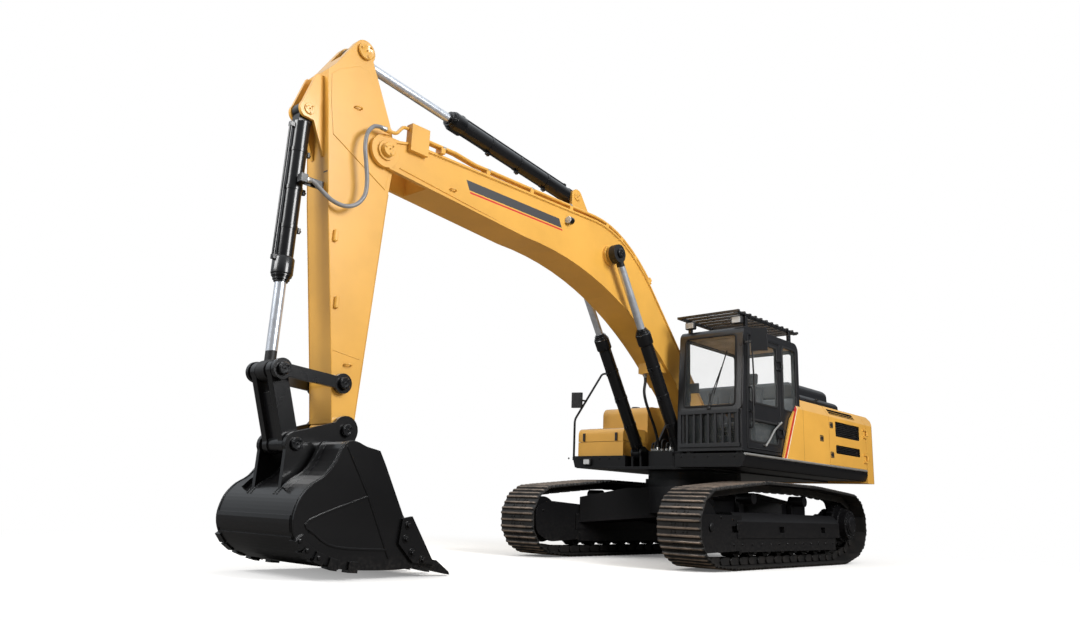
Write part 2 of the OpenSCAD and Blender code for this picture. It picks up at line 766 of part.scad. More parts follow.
module exhaust_stack() {
    color(dark)
    difference() {
        translate([-1500, -1150, panel_top_z - 4]) cylinder(r = 62, h = 470, $fn = 32);
        translate([-1500, -1150, panel_top_z + 40]) cylinder(r = 52, h = 500, $fn = 32);
    }
}

module right_handrail() {
    y = -body_half_w - 20;
    rail_r = 17;
    mirror_at = [745, 2320];
    color(dark) {
        pipe([[1010, y, deck_z - 60], [1010, y, 2000], [340, y, 2810], [-60, y, 2880], [-130, y, 2800],
            [-130, y, 2130]], rail_r, [0, 1, 0]);
        for (z = [deck_z - 55, deck_z - 30])
            block([992, y - 12, z], [1028, -body_half_w, z + 18]);
        block([-148, y - 12, 2140], [-112, -body_half_w + 8, 2170]);
        // Rear view mirror on a short arm
        block([mirror_at[0] - 10, y - 12, mirror_at[1] - 12],
            [mirror_at[0] + 150, y + 12, mirror_at[1] + 12]);
        translate([mirror_at[0] + 150, y - 60, mirror_at[1]]) rotate([0, 0, 20])
            block([-22, -85, -120], [22, 85, 120]);
    }
}

// Pull rail across the lower half of the cab door
module door_rail() {
    y = cab_y1 + 38;
    color(steel) {
        pipe([[622, y, 1566], [490, y, 1670], [360, y, 1800], [140, y, 1926]], 13, [0, 1, 0]);
        for (p = [[605, 1583], [152, 1918]])
            block([p[0] - 10, cab_y1 + face_gap, p[1] - 10], [p[0] + 10, y, p[1] + 10]);
    }
}

// Cab

// Side outline of the cab, set in by d
function cab_outline(d) = concat(
    [[cab_x0 + d, cab_z0 + d], [cab_x1 - d, cab_z0 + d], [cab_x1 - d, sill_z - 60]],
    arc_pts([cab_x1 - cab_rake - 110, cab_top_z - 120], 120 - d, 10, 90, 5),
    arc_pts([cab_x0 + 130, cab_top_z - 130], 130 - d, 90, 180, 6));

// Openings of the cab's walls
module front_windows() {
    along(cab_x0 + 400, cab_x1 + 50) {
        round_rect([cab_y0 + pillar, sill_z], [cab_y1 - pillar, head_z], 60);
        round_rect([cab_y0 + pillar, cab_z0 + 90], [cab_y1 - pillar, sill_z - 90], 40);
    }
}

module rear_window() {
    along(cab_x0 - 50, cab_x0 + 200)
        round_rect([cab_y0 + pillar, sill_z + 300], [cab_y1 - pillar, head_z], 60);
}

module right_window() {
    across(cab_y0 - 5, cab_y0 + 200)
        round_rect([cab_x0 + 110, sill_z], [cab_x1 - 260, head_z], 60);
}

module left_rear_window() {
    across(cab_y1 - 200, cab_y1 + 5)
        round_rect([cab_x0 + 90, sill_z + 50], [door_x0 - 100, head_z], 60);
}

module door_opening(grow) {
    across(cab_y1 - 200, cab_y1 + 50)
        polygon([[door_x0 - grow, door_low - grow], [door_x1 + grow, door_low - grow],
            [door_x1 + grow, sill_z], [door_x1 - 45 + grow, head_z + grow], [door_x0 - grow, head_z + grow]]);
}

module cab_hollow(d) {
    across(cab_y0 + d, cab_y1 - d) polygon(cab_outline(d));
}

module cab_frame() {
    color(dark) {
        difference() {
            cab_hollow(0);
            cab_hollow(cab_wall);
            front_windows();
            rear_window();
            right_window();
            left_rear_window();
            door_opening(shut_gap);
            block([cab_x0 - 5, cab_y0 - 5, roof_z], [cab_x1 + 5, cab_y1 + 5, cab_top_z + 5]);
        }
        // Mounting feet on the deck
        for (x = [cab_x0 + 150, cab_x1 - 150], y = [cab_y0 + 120, cab_y1 - 120])
            translate([x, y, deck_z]) cylinder(r = 60, h = cab_z0 - deck_z + 10, $fn = 32);
        // Door hinge leaves on the pillar behind the door
        for (z = door_hinge_z)
            difference() {
                union() {
                    post(hinge, knuckle_r, z, z + knuckle_h);
                    block([door_x0 - 85, cab_y1 - 10, z], [hinge[0], hinge[1], z + knuckle_h]);
                }
                post(hinge, hinge_r + pin_gap, z - 5, z + knuckle_h + 5);
            }
    }
}

module cab_roof() {
    color(dark)
    difference() {
        cab_hollow(0);
        cab_hollow(cab_wall);
        block([cab_x0 - 5, cab_y0 - 5, cab_z0 - 5], [cab_x1 + 5, cab_y1 + 5, roof_z]);
    }
}

// Panes inside the wall's thickness
module pane_layer() {
    difference() {
        cab_hollow(14);
        cab_hollow(22);
    }
}

module cab_glass() {
    color(glass) {
        intersection() {
            pane_layer();
            front_windows();
        }
        intersection() {
            pane_layer();
            union() {
                rear_window();
                right_window();
                left_rear_window();
            }
        }
    }
}

module cab_door() {
    color(dark) {
        difference() {
            intersection() {
                door_opening(0);
                block([door_x0 - 5, cab_y1 - cab_wall, cab_z0], [cab_x1, cab_y1, cab_top_z]);
            }
            door_windows();
        }
        // Hinge straps and their pins
        for (z = door_hinge_z) {
            post(hinge, hinge_r, z - 40, z + knuckle_h + 40);
            for (low = [z - 40, z + knuckle_h + 6])
                block([hinge[0] - 8, cab_y1 + 6, low], [door_x0 + 120, hinge[1] + 8, low + 34]);
            block([door_x0 + 50, cab_y1 - 4, z - 40], [door_x0 + 120, cab_y1 + 10, z + knuckle_h + 40]);
        }
        // Latch handle
        block([door_x1 - 190, cab_y1 - 2, 1990], [door_x1 - 70, cab_y1 + 22, 2020]);
    }
}

module door_windows() {
    across(cab_y1 - 200, cab_y1 + 50) {
        intersection() {
            round_rect([door_x0 + 70, sill_z + 60], [door_x1 - 60, head_z - 60], 50);
            polygon([[door_x0, sill_z], [door_x1 - 70, sill_z], [door_x1 - 105, head_z], [door_x0, head_z]]);
        }
        round_rect([door_x0 + 80, door_low + 90], [door_x1 - 80, sill_z - 160], 50);
    }
}

module cab_door_glass() {
    color(glass)
    intersection() {
        block([door_x0, cab_y1 - 22, cab_z0], [door_x1, cab_y1 - 14, cab_top_z]);
        door_windows();
    }
}

module roof_guard() {
    z = cab_top_z + 165;
    color(dark) {
        for (x = [cab_x0 + 140, cab_x1 - 280], y = [cab_y0 + 60, cab_y1 - 60])
            block([x, y - 20, cab_top_z], [x + 60, y + 20, z]);
        for (y = [cab_y0 + 30, cab_y1 - 90])
            block([cab_x0 - 60, y, z - 5], [cab_x1 + 20, y + 60, z + 25]);
        for (i = [0 : 11]) {
            x = cab_x0 - 60 + (cab_l + 40) * i / 11;
            block([x, cab_y0 + 10, z + 5], [x + 40, cab_y1 - 10, z + 35]);
        }
    }
}

module front_guard() {
    x = cab_x1 + 2;
    z0 = cab_z0 + 50;
    z1 = sill_z - 50;
    color(dark) {
        for (z = [z0, z1 - 50])
            block([x, cab_y0 + 30, z], [x + 30, cab_y1 - 30, z + 50]);
        for (i = [0 : 8]) {
            y = cab_y0 + 40 + (cab_w - 110) * i / 8;
            block([x + 5, y, z0 + 10], [x + 25, y + 30, z1 - 10]);
        }
        for (y = [cab_y0 + 60, cab_y1 - 100])
            block([x - 2, y, z0], [x + 5, y + 40, z1]);
    }
}

module cab_mirror() {
    color(dark) {
        block([cab_x1 - 130, cab_y1, 2870], [cab_x1 - 80, cab_y1 + 12, 2940]);
        block([cab_x1 - 117, cab_y1 + 10, 2892], [cab_x1 - 93, cab_y1 + 262, 2917]);
        block([cab_x1 - 117, cab_y1 + 238, 2892], [cab_x1 - 29, cab_y1 + 262, 2917]);
        translate([cab_x1 - 29, cab_y1 + 254, 2905]) rotate([0, 0, 25])
            block([-28, -105, -150], [28, 105, 150]);
    }
}

seat_x = 330;
seat_y = (cab_y0 + cab_y1) / 2 + 10;

module seat() {
    color([0.22, 0.22, 0.24]) {
        block([seat_x - 180, seat_y - 190, cab_z0 + cab_wall], [seat_x + 180, seat_y + 190, cab_z0 + 330]);
        block([seat_x - 240, seat_y - 240, cab_z0 + 325], [seat_x + 260, seat_y + 240, cab_z0 + 460]);
        across(seat_y - 230, seat_y + 230)
            polygon([[seat_x - 240, cab_z0 + 400], [seat_x - 120, cab_z0 + 400],
                [seat_x - 220, cab_z0 + 1020], [seat_x - 310, cab_z0 + 1020]]);
        across(seat_y - 140, seat_y + 140)
            polygon([[seat_x - 300, cab_z0 + 1010], [seat_x - 230, cab_z0 + 1010],
                [seat_x - 250, cab_z0 + 1200], [seat_x - 320, cab_z0 + 1200]]);
    }
}

module console(y0, y1) {
    block([seat_x - 250, y0, cab_z0 + cab_wall], [seat_x + 330, y1, cab_z0 + 560]);
    block([seat_x - 50, y0 + 20, cab_z0 + 555], [seat_x + 330, y1 - 20, cab_z0 + 640]);
    x = seat_x + 270;
    y = (y0 + y1) / 2;
    translate([x, y, cab_z0 + 630]) cylinder(r = 14, h = 120, $fn = 16);
    translate([x, y, cab_z0 + 740]) cylinder(r = 30, h = 110, $fn = 24);
}

module left_console() {
    color(dark) console(seat_y + 250, seat_y + 390);
}

module right_console() {
    color(dark) console(seat_y - 390, seat_y - 250);
}

module travel_levers() {
    color(dark) {
        block([820, seat_y - 170, cab_z0 + cab_wall], [960, seat_y + 170, cab_z0 + cab_wall + 60]);
        for (e = [-1, 1]) {
            pipe([[880, seat_y + e * 90, cab_z0 + cab_wall + 50], [860, seat_y + e * 90, cab_z0 + 420],
                [800, seat_y + e * 90, cab_z0 + 760]], 12, [0, 1, 0]);
            across(seat_y + e * 90 - 60, seat_y + e * 90 + 60)
                polygon([[905, cab_z0 + cab_wall + 40], [930, cab_z0 + cab_wall + 40],
                    [1010, cab_z0 + 210], [985, cab_z0 + 215]]);
        }
    }
}

// Front linkage

nose_len = 590;
nose_box = nose_pin + [-520, 300];
pipe_r = 19;
pipe_y = [146, 194];
pipe_spread = fork_in + 2 + pipe_r - pipe_y[0];
slot_x = nose_pin[0] - nose_len;
boom_under = concat(curve_pts(foot_pin + [700, 400], foot_pin + [2170, 1760], foot_pin + [4000, 1765], 14),
    [nose_pin + [-60, -175]]);
boom_over = concat([foot_pin + [-120, 130]],
    curve_pts(foot_pin + [1370, 1740], foot_pin + [1990, 2360], foot_pin + [2640, 2365], 8),
    [nose_pin + [-330, 205], nose_pin + [-100, 150]]);
flange = 26;

module boom() {
    web_half = boom_half - 18;
    color(paint)
    difference() {
        union() {
            across(-web_half, web_half)
                polygon(concat([foot_pin + [60, -150]], boom_under,
                    [nose_pin + [60, -60], nose_pin + [20, 100]],
                    reversed(boom_over)));
            across(-boom_half, boom_half) {
                polygon(concat(boom_over, reversed(lifted(boom_over, -flange))));
                polygon(concat(boom_under, reversed(lifted(boom_under, flange))));
            }
            pin(foot_pin, 190, -boom_half, boom_half);
            pin(foot_pin, 150, -boom_boss, boom_boss);
            pin(nose_pin, 175, -boom_half, boom_half);
            pin(nose_pin, 104, -boom_half - 22, boom_half + 22);
            pin(nose_pin, nose_r + 14, -boom_half - 52, boom_half + 52);
            pin(ram_pin, 135, -boom_half - 20, boom_half + 20);
            pin(ram_pin, 92, -boom_boss, boom_boss);
            // Ears of the arm cylinder on the top plate
            both_sides()
                across(lug_in, lug_in + lug_t)
                    polygon(concat([foot_pin + [2560, 2340], foot_pin + [3004, 2340]],
                        arc_pts(arm_ram_foot, 104, 0, 150, 8)));
            // Port block of the hoses under the belly
            block([belly_port[0] - 110, -190, belly_port[1]], [belly_port[0] + 60, 190, belly_port[1] + 260]);
            // Boxes beside the nose where the steel pipes end
            both_sides()
                block([nose_box[0], 110, nose_box[1] - 200],
                    [nose_box[0] + 240, pipe_y[1] + pipe_spread + pipe_r + 4, nose_box[1] + 100]);
        }
        pin(foot_pin, foot_r + pin_gap, -boom_boss - 5, boom_boss + 5);
        // Fork for the arm
        block([slot_x, -fork_in, nose_pin[1] - 400], [nose_pin[0] + 300, fork_in, nose_pin[1] + 400]);
    }
    color(steel) {
        pin(nose_pin, nose_r, -boom_half - 58, boom_half + 58);
        pin(arm_ram_foot, ram_pin_r, -lug_in - lug_t, lug_in + lug_t);
    }
}

// Steel oil pipes on stands along the boom's top, from the nose boxes down to the foot
pipe_lift = 64;
pipe_top = beside([for (i = [1 : 9]) boom_over[i]], pipe_lift);
pipe_end = nose_box + [-face_gap, -15];
pipe_way = unit(pipe_end - pipe_top[8]);
// The pipes spread before the nose, so that the arm's tail passes between them
spread_from = 2200;
spread_to = 2550;

function at_y(p, y) = [p[0], y, p[1]];

function pipe_line(y) = concat([for (p = pipe_top) at_y(p, y)],
    [at_y(pipe_top[8] + spread_from * pipe_way, y), at_y(pipe_top[8] + spread_to * pipe_way, y + pipe_spread),
        at_y(pipe_end, y + pipe_spread)]);

// Stands as [edge of the top plate, way along it, height]
stand_places = [[1, 60, pipe_lift + 34], [3, 70, pipe_lift - 6], [5, 70, pipe_lift - 6],
    [7, 70, pipe_lift - 6],
    [9, 500, pipe_lift - 2], [9, 1250, pipe_lift], [9, 2000, pipe_lift], [9, 2750, pipe_lift]];
hose_fitting = [nose_pin[0] + 60, 285, nose_pin[1] + 195];

module boom_tubes() {
    color(paint)
    both_sides() {
        for (y = pipe_y)
            swept(pipe_line(y), pipe_r, 8, [0, 1, 0]);
        // Stands between the top plate and the pipes
        for (s = stand_places) {
            way = unit(boom_over[s[0] + 1] - boom_over[s[0]]);
            place = boom_over[s[0]] + s[1] * way;
            aside = s[1] > spread_to ? pipe_spread : 0;
            translate([place[0], 0, place[1]]) rotate([0, -atan2(way[1], way[0]), 0])
                block([-30, pipe_y[0] - 22 + aside, face_gap], [30, pipe_y[1] + 26 + aside, s[2]]);
        }
    }
    color(paint)
    swept(bent([[nose_box[0] + 240, 214, nose_box[1] + 50], [nose_box[0] + 310, 214, nose_box[1] + 50],
        hose_fitting - [130, 0, 0], hose_fitting], 45), pipe_r, 8, [0, 0.4, 1]);
    color(steel)
    translate(hose_fitting - [50, 0, 0]) rotate([0, 90, 0]) cylinder(r = hose_r + 8, h = 50, $fn = 24);
}

module boom_lamps() {
    x = foot_pin[0] + 3210;
    z = foot_pin[1] + 2190;
    color(dark)
    both_sides() {
        block([x - 60, boom_half - 18, z - 20], [x - 20, boom_half + 30, z + 20]);
        translate([x - 30, boom_half + 30, z]) rotate([0, 90, 0]) cylinder(r = 46, h = 70, $fn = 32);
    }
}

module arm() {
    half = arm_w / 2;
    // Side outline from the tail down the rear edge and up the front edge
    outline = concat([tail_pin + [-110, -70], nose_pin + [-60, 330]],
        arc_pts(nose_pin, 165, 160, 200, 4), [nose_pin + [-110, -430], bucket_pin + [-122, 90]],
        [bucket_pin + [122, 60], rocker_pin + [100, 60], nose_pin + [580, -700], nose_pin + [690, 300],
            nose_pin + [725, 620], nose_pin + [640, 720]], arc_pts(tail_pin, 125, 30, 150, 8));
    color(paint)
    difference() {
        union() {
            across(-half, half) polygon(outline);
            pin(nose_pin, 170, -half, half);
            pin(bucket_pin, 125, -half, half);
            pin(rocker_pin, 95, -half, half);
            pin(tail_pin, 125, -half, half);
            // Doubler plates of the upper half, with a slanting lower edge
            across(-half - 3, half + 3)
                polygon([tail_pin + [-60, -190], nose_pin + [-10, 330], nose_pin + [-125, 40],
                    nose_pin + [-65, -395], nose_pin + [600, -20],
                    nose_pin + [655, 290], nose_pin + [680, 590],
                    nose_pin + [600, 670], tail_pin + [60, -190]]);
            // Ears of the bucket cylinder
            both_sides()
                across(lug_in, lug_in + lug_t)
                    polygon(concat([nose_pin + [600, -240], nose_pin + [640, -250]],
                        [bucket_ram_foot + [-60, -96]],
                        arc_pts(bucket_ram_foot, 98, -60, 40, 8),
                        [nose_pin + [800, 560], nose_pin + [650, 580]]));
            // Bracket with the port of the free hose
            block([hose_port[0] - 270, hose_port[1] - 38, hose_port[2] - 45],
                [hose_port[0] + 20, hose_port[1] - 24, hose_port[2] + 45]);
            block([hose_port[0], hose_port[1] - 38, hose_port[2] - 40],
                [hose_port[0] + 70, hose_port[1] + 30, hose_port[2] + 40]);
        }
        pin(nose_pin, nose_r + pin_gap, -half - 10, half + 10);
        // Fork at the tail for the arm cylinder's eye
        block([nose_pin[0] - 60, -rod_eye - 20, tail_pin[1] - arm_eye_r - 84],
            [tail_pin[0] + 150, rod_eye + 20, tail_pin[1] + 150]);
        block([tail_pin[0] + 100, -rod_eye - 20, tail_pin[1] - arm_eye_r - 18],
            [tail_pin[0] + 420, rod_eye + 20, tail_pin[1] + 150]);
    }
    color(steel) {
        pin(bucket_pin, bucket_pin_r, -ear_in - ear_t - 30, ear_in + ear_t + 30);
        pin(rocker_pin, bucket_pin_r, -ear_in - ear_t - 26, ear_in + ear_t + 26);
        pin(bucket_ram_foot, ram_pin_r, -lug_in - lug_t, lug_in + lug_t);
        both_sides() pin(tail_pin, ram_pin_r + 30, rod_eye + 30, half + 24);
    }
}

// Bucket profile as a line from the front of its top plate round the heel to the lip
lip = bucket_pin + [-700, -1190];
shell_t = 28;
wrap = smooth_route([for (p = [[-110, -185], [40, -158], [160, -120], [268, -150], [341, -298], [442, -432],
    [561, -507], [647, -599], [690, -693], [710, -796], [693, -899], [642, -990], [565, -1066], [448, -1126],
    [213, -1196], [-151, -1216], [-440, -1216], [-700, -1190]]) bucket_pin + p], 3);
function wrap_part(a, b) = [for (i = [a : b]) wrap[i]];
ear_low = wrap_part(9, 20);
cutter = [lip + [-110, 10], lip + [150, 30], lip + [330, 200], lip + [300, 420], lip + [190, 440]];
shroud_at = [33, 36, 39, 41, 43];

module bucket() {
    half = bucket_w / 2;
    side_t = 34;
    side_rib = smooth_route([bucket_pin + [-20, -588], bucket_pin + [560, -800], bucket_pin + [500, -905],
        bucket_pin + [276, -1015], bucket_pin + [-250, -1044]], 4);
    color(dark)
    difference() {
        union() {
            // Wrapped shell between the side plates
            across(-half + 10, half - 10)
                polygon(concat(wrap, reversed(beside(wrap, -shell_t))));
            // Wear plates round the lower back
            across(-half + 40, half - 40) {
                polygon(concat(wrap_part(26, 30), reversed(beside(wrap_part(26, 30), 12))));
                polygon(concat(wrap_part(31, 40), reversed(beside(wrap_part(31, 40), 12))));
            }
            both_sides() {
                across(half - side_t, half)
                    polygon(concat(wrap, [lip + [-20, 60],
                        bucket_pin + [-420, -740], bucket_pin + [-180, -300]]));
                // Raised rib, bolted cutter and heel shrouds of the side plate
                across(half - 1, half + 10) polygon(strip(side_rib, 16));
                across(half - 1, half + 30) polygon(cutter);
                for (i = shroud_at) {
                    way = unit(wrap[i + 1] - wrap[i - 1]);
                    translate([wrap[i][0], 0, wrap[i][1]]) rotate([0, -atan2(way[1], way[0]), 0])
                        block([-48, half - 70, -70], [48, half + 24, 22]);
                }
                // Ears that run down the back as ribs, and a lower rib beside each
                across(ear_in, ear_in + ear_t)
                    polygon(concat(arc_pts(bucket_pin, 135, 30, 195, 10), beside(wrap_part(1, 20), -12),
                        arc_pts(link_pin, 105, -30, 75, 6)));
                across(ear_in + 130, ear_in + 156)
                    polygon(concat(beside(ear_low, -12), reversed(beside(ear_low, 46))));
            }
            // Lip plate and teeth
            across(-half, half)
                polygon([lip, lip + [-150, -28], lip + [-160, 2], lip + [-30, 44], lip + [120, 60],
                    lip + [120, 0]]);
            for (i = [0 : tooth_count - 1]) {
                y = (i - (tooth_count - 1) / 2) * (bucket_w - 130) / (tooth_count - 1);
                intersection() {
                    across(y - 62, y + 62)
                        polygon([lip + [40, -12], lip + [-180, -58], lip + [-358, -92], lip + [-340, -62],
                            lip + [-160, 46], lip + [40, 74]]);
                    translate([0, 0, lip[1] - 200]) linear_extrude(400)
                        polygon([[lip[0] + 50, y - 60], [lip[0] - 200, y - 56], [lip[0] - 360, y - 34],
                            [lip[0] - 360, y + 34], [lip[0] - 200, y + 56], [lip[0] + 50, y + 60]]);
                }
            }
            pin(link_pin, bucket_pin_r, -ear_in - ear_t - 20, ear_in + ear_t + 20);
        }
        both_sides() pin(bucket_pin, bucket_pin_r + pin_gap, ear_in - 5, ear_in + ear_t + 5);
    }
}

module rocker() {
    color(dark)
    difference() {
        across(ear_in, ear_in + ear_t - 4)
            union() {
                polygon(concat(arc_pts(rocker_pin, 56, 94, 274, 10), arc_pts(crank_pin, 56, -86, 94, 10)));
                translate(rocker_pin) circle(r = 95, $fn = 48);
                translate(crank_pin) circle(r = 95, $fn = 48);
            }
        pin(rocker_pin, bucket_pin_r + pin_gap, ear_in - 5, ear_in + ear_t + 5);
    }
    color(dark) pin(crank_pin, bucket_pin_r, link_out + 6, ear_in + ear_t + 24);
}

module left_rocker() {
    rocker();
}

module right_rocker() {
    mirror([0, 1, 0]) rocker();
}

module bucket_link() {
    way = (link_pin - crank_pin) / norm(link_pin - crank_pin);
    side = [-way[1], way[0]];
    color(dark)
    difference() {
        union() {
            both_sides()
                across(link_in, link_out)
                    union() {
                        polygon([crank_pin + 80 * side, link_pin + 80 * side, link_pin - 80 * side,
                            crank_pin - 80 * side]);
                        translate(crank_pin) circle(r = 88, $fn = 48);
                        translate(link_pin) circle(r = 92, $fn = 48);
                    }
            across(-link_in - 5, link_in + 5)
                polygon([crank_pin + 190 * way + 45 * side, link_pin - 60 * way + 45 * side,
                    link_pin - 60 * way - 45 * side, crank_pin + 190 * way - 45 * side]);
            pin(link_pin, 80, -ear_in + 8, ear_in - 8);
        }
        pin(link_pin, bucket_pin_r + pin_gap, -ear_in, ear_in);
    }
}

// Cylinders: each is drawn along its own axis from its foot eye and turned into place

module turned_to(a, b, y) {
    translate([a[0], y, a[1]]) rotate([0, -atan2(b[1] - a[1], b[0] - a[0]), 0]) children();
}

module barrel(len, r, eye_w, foot_bore) {
    bore = rod_r + 14;
    neck = 125;
    difference() {
        union() {
            rotate([90, 0, 0]) cylinder(r = r + 4, h = 2 * eye_w, center = true, $fn = 48);
            block([30, -eye_w, -r + 14], [neck + 10, eye_w, r - 14]);
            translate([neck, 0, 0]) rotate([0, 90, 0]) cylinder(r = r, h = len - neck, $fn = 64);
            translate([len - 120, 0, 0]) rotate([0, 90, 0]) cylinder(r = r + 9, h = 110, $fn = 64);
            translate([len - 12, 0, 0]) rotate([0, 90, 0]) cylinder(r = r - 8, h = 24, $fn = 64);
            // Oil pipe along the barrel
            translate([150, 0, r + 26]) rotate([0, 90, 0]) cylinder(r = 17, h = len - 330, $fn = 16);
            for (x = [150, len - 200])
                translate([x, -22, r - 12]) cube([44, 44, 52]);
        }
        rotate([90, 0, 0]) cylinder(r = foot_bore + pin_gap, h = 3 * eye_w, center = true, $fn = 48);
        translate([190, 0, 0]) rotate([0, 90, 0]) cylinder(r = bore, h = len - 190 - 60, $fn = 48);
        translate([190, 0, 0]) rotate([0, 90, 0]) cylinder(r = rod_r + pin_gap, h = len, $fn = 48);
    }
}

// Rod whose eye lies at distance total from the foot eye, reaching back to distance start
module rod(total, start, eye_r, eye_w) {
    translate([start, 0, 0]) rotate([0, 90, 0]) cylinder(r = rod_r, h = total - start - 20, $fn = 48);
    translate([total, 0, 0]) rotate([90, 0, 0]) cylinder(r = eye_r, h = 2 * eye_w, center = true, $fn = 48);
    translate([total, 0, 0]) rotate([90, 0, 0])
        cylinder(r = ram_pin_r, h = 2 * eye_w + 23, center = true, $fn = 48);
}

boom_ram_len = norm(ram_pin - ram_foot);
boom_barrel_len = boom_ram_len * 0.62;

module boom_barrel(e) {
    color(dark) turned_to(ram_foot, ram_pin, e * ram_y)
        barrel(boom_barrel_len, boom_barrel_r, ram_eye, ram_pin_r);
}

module left_boom_barrel() {
    boom_barrel(1);
}

module right_boom_barrel() {
    boom_barrel(-1);
}

module boom_rod(e) {
    color(steel) turned_to(ram_foot, ram_pin, e * ram_y)
        rod(boom_ram_len, boom_barrel_len - 780, 125, ram_eye);
}

module left_boom_rod() {
    boom_rod(1);
}

module right_boom_rod() {
    boom_rod(-1);
}

arm_ram_len = norm(tail_pin - arm_ram_foot);
arm_barrel_len = arm_ram_len * 0.62;

module arm_barrel() {
    color(dark) turned_to(arm_ram_foot, tail_pin, 0)
        barrel(arm_barrel_len, arm_barrel_r, eye_half, ram_pin_r);
}

module arm_rod() {
    color(steel) turned_to(arm_ram_foot, tail_pin, 0)
        rod(arm_ram_len, arm_barrel_len - 760, arm_eye_r, rod_eye);
}

bucket_ram_len = norm(crank_pin - bucket_ram_foot);
bucket_barrel_len = bucket_ram_len * 0.66;

module bucket_barrel() {
    color(dark) turned_to(bucket_ram_foot, crank_pin, 0)
        barrel(bucket_barrel_len, bucket_barrel_r, eye_half, ram_pin_r);
}

module bucket_rod() {
    color(steel) turned_to(bucket_ram_foot, crank_pin, 0)
        rod(bucket_ram_len, bucket_barrel_len - 720, 95, rod_eye);
}

// Free hoses: each is swept along a smooth curve through its route, from port face to port face
module hose(route) {
    swept(smooth_route(route, 3), hose_r, 10, [0, 1, 0.2]);
}

// Each route starts and ends with a straight stretch square to its port
arm_hose_route = concat([for (d = [pin_gap, 45, 90]) hose_fitting + [d, 0, 0]],
    [for (p = [[228, 300, 158], [296, 312, 60], [312, 316, -90], [282, 318, -270], [256, 318, -440],
        [270, 318, -590], [350, 308, -705], [465, 282, -748], [580, 240, -715], [668, 186, -630]])
        [nose_pin[0] + p[0], p[1], nose_pin[1] + p[2]]],
    [for (d = [80, 40, pin_gap]) hose_port - [d, 0, 0]]);

module arm_hose() {
    color([0.4, 0.4, 0.42]) hose(arm_hose_route);
}

// Boom hose from the valve block up to the belly of the boom
module boom_hose(y) {
    low = [valve_port[0], y, valve_port[1]];
    high = [belly_port[0], y, belly_port[1]];
    color(dark)
        hose(concat([for (d = [pin_gap, 60, 120]) low + [0, 0, d]],
            [low + [70, 0, 300], low + [200, 0, 500], low + [310, 0, 680], high + [25, 0, -255]],
            [for (d = [120, 60, pin_gap]) high - [0, 0, d]]));
}

module left_boom_hose() {
    boom_hose(110);
}

module right_boom_hose() {
    boom_hose(-110);
}

car_body();
left_track_frame();
right_track_frame();
left_track();
right_track();
left_idler();
right_idler();
left_final_drive();
right_final_drive();
main_frame();
counterweight();
engine_block();
engine_cover();
engine_hood();
left_side_panel();
left_cooler_door();
right_pump_door();
fuel_tank();
hydraulic_tank();
toolbox();
toolbox_lid();
exhaust_stack();
right_handrail();
door_rail();
cab_frame();
cab_roof();
cab_glass();
roof_guard();
front_guard();
cab_mirror();
seat();
left_console();
right_console();
travel_levers();
cab_door();
cab_door_glass();
boom();
boom_tubes();
boom_lamps();
arm();
bucket();
left_rocker();
right_rocker();
bucket_link();
left_boom_barrel();
right_boom_barrel();
left_boom_rod();
right_boom_rod();
arm_barrel();
arm_rod();
bucket_barrel();
bucket_rod();
arm_hose();
left_boom_hose();
right_boom_hose();
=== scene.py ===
# %% [markdown]
# # Dressing a crawler excavator
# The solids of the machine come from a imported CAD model, which Blender loads as a fixed frame.
# This lesson gives each solid its finish and adds the small pieces that a solid model leaves out.
# All lengths are metres: +X is forward, +Y is the operator's left, +Z is up.

import bmesh
import bpy
import numpy as np
from mathutils import Matrix


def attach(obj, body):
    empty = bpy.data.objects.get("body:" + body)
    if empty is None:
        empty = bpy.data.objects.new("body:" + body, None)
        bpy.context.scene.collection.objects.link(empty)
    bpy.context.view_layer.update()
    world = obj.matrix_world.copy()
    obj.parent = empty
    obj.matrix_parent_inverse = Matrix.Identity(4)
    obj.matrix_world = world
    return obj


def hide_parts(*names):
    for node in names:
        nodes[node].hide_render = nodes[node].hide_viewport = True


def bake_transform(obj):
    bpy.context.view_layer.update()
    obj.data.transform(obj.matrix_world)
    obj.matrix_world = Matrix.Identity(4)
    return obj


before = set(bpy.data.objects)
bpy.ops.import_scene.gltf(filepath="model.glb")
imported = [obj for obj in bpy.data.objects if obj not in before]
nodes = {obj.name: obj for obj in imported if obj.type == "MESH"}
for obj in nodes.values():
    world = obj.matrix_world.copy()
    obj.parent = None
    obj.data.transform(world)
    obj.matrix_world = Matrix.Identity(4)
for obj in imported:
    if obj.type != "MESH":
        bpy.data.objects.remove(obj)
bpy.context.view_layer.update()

# %% [markdown]
# ## The camera
# The picture was taken from in front of the machine's left side, low down, with a wide lens.
# A camera can be aimed with a Track To constraint, but then its slight roll is lost, so its three axes
# are worked out from yaw, pitch and roll and written into its matrix.

# %% Camera
yaw, pitch, roll = np.radians([-137.65, 13.21, 2.14])
ahead = np.array([np.cos(pitch) * np.cos(yaw), np.cos(pitch) * np.sin(yaw), np.sin(pitch)])
level = np.array([np.sin(yaw), -np.cos(yaw), 0.0])
upward = np.cross(level, ahead)
to_right = np.cos(roll) * level + np.sin(roll) * upward
to_top = np.cos(roll) * upward - np.sin(roll) * level
lens = bpy.data.cameras.new("photo_view")
lens.sensor_width = 36.0
lens.lens = 27.83
lens.clip_end = 400.0
stand = [11.01, 6.79, 0.67]
camera = bpy.data.objects.new("photo_view", lens)
bpy.context.scene.collection.objects.link(camera)
placed = np.eye(4)
placed[:3, :4] = np.column_stack([to_right, to_top, -ahead, stand])
camera.matrix_world = Matrix(placed.tolist())
bpy.context.scene.camera = camera
print("camera looks along", ahead.round(3))

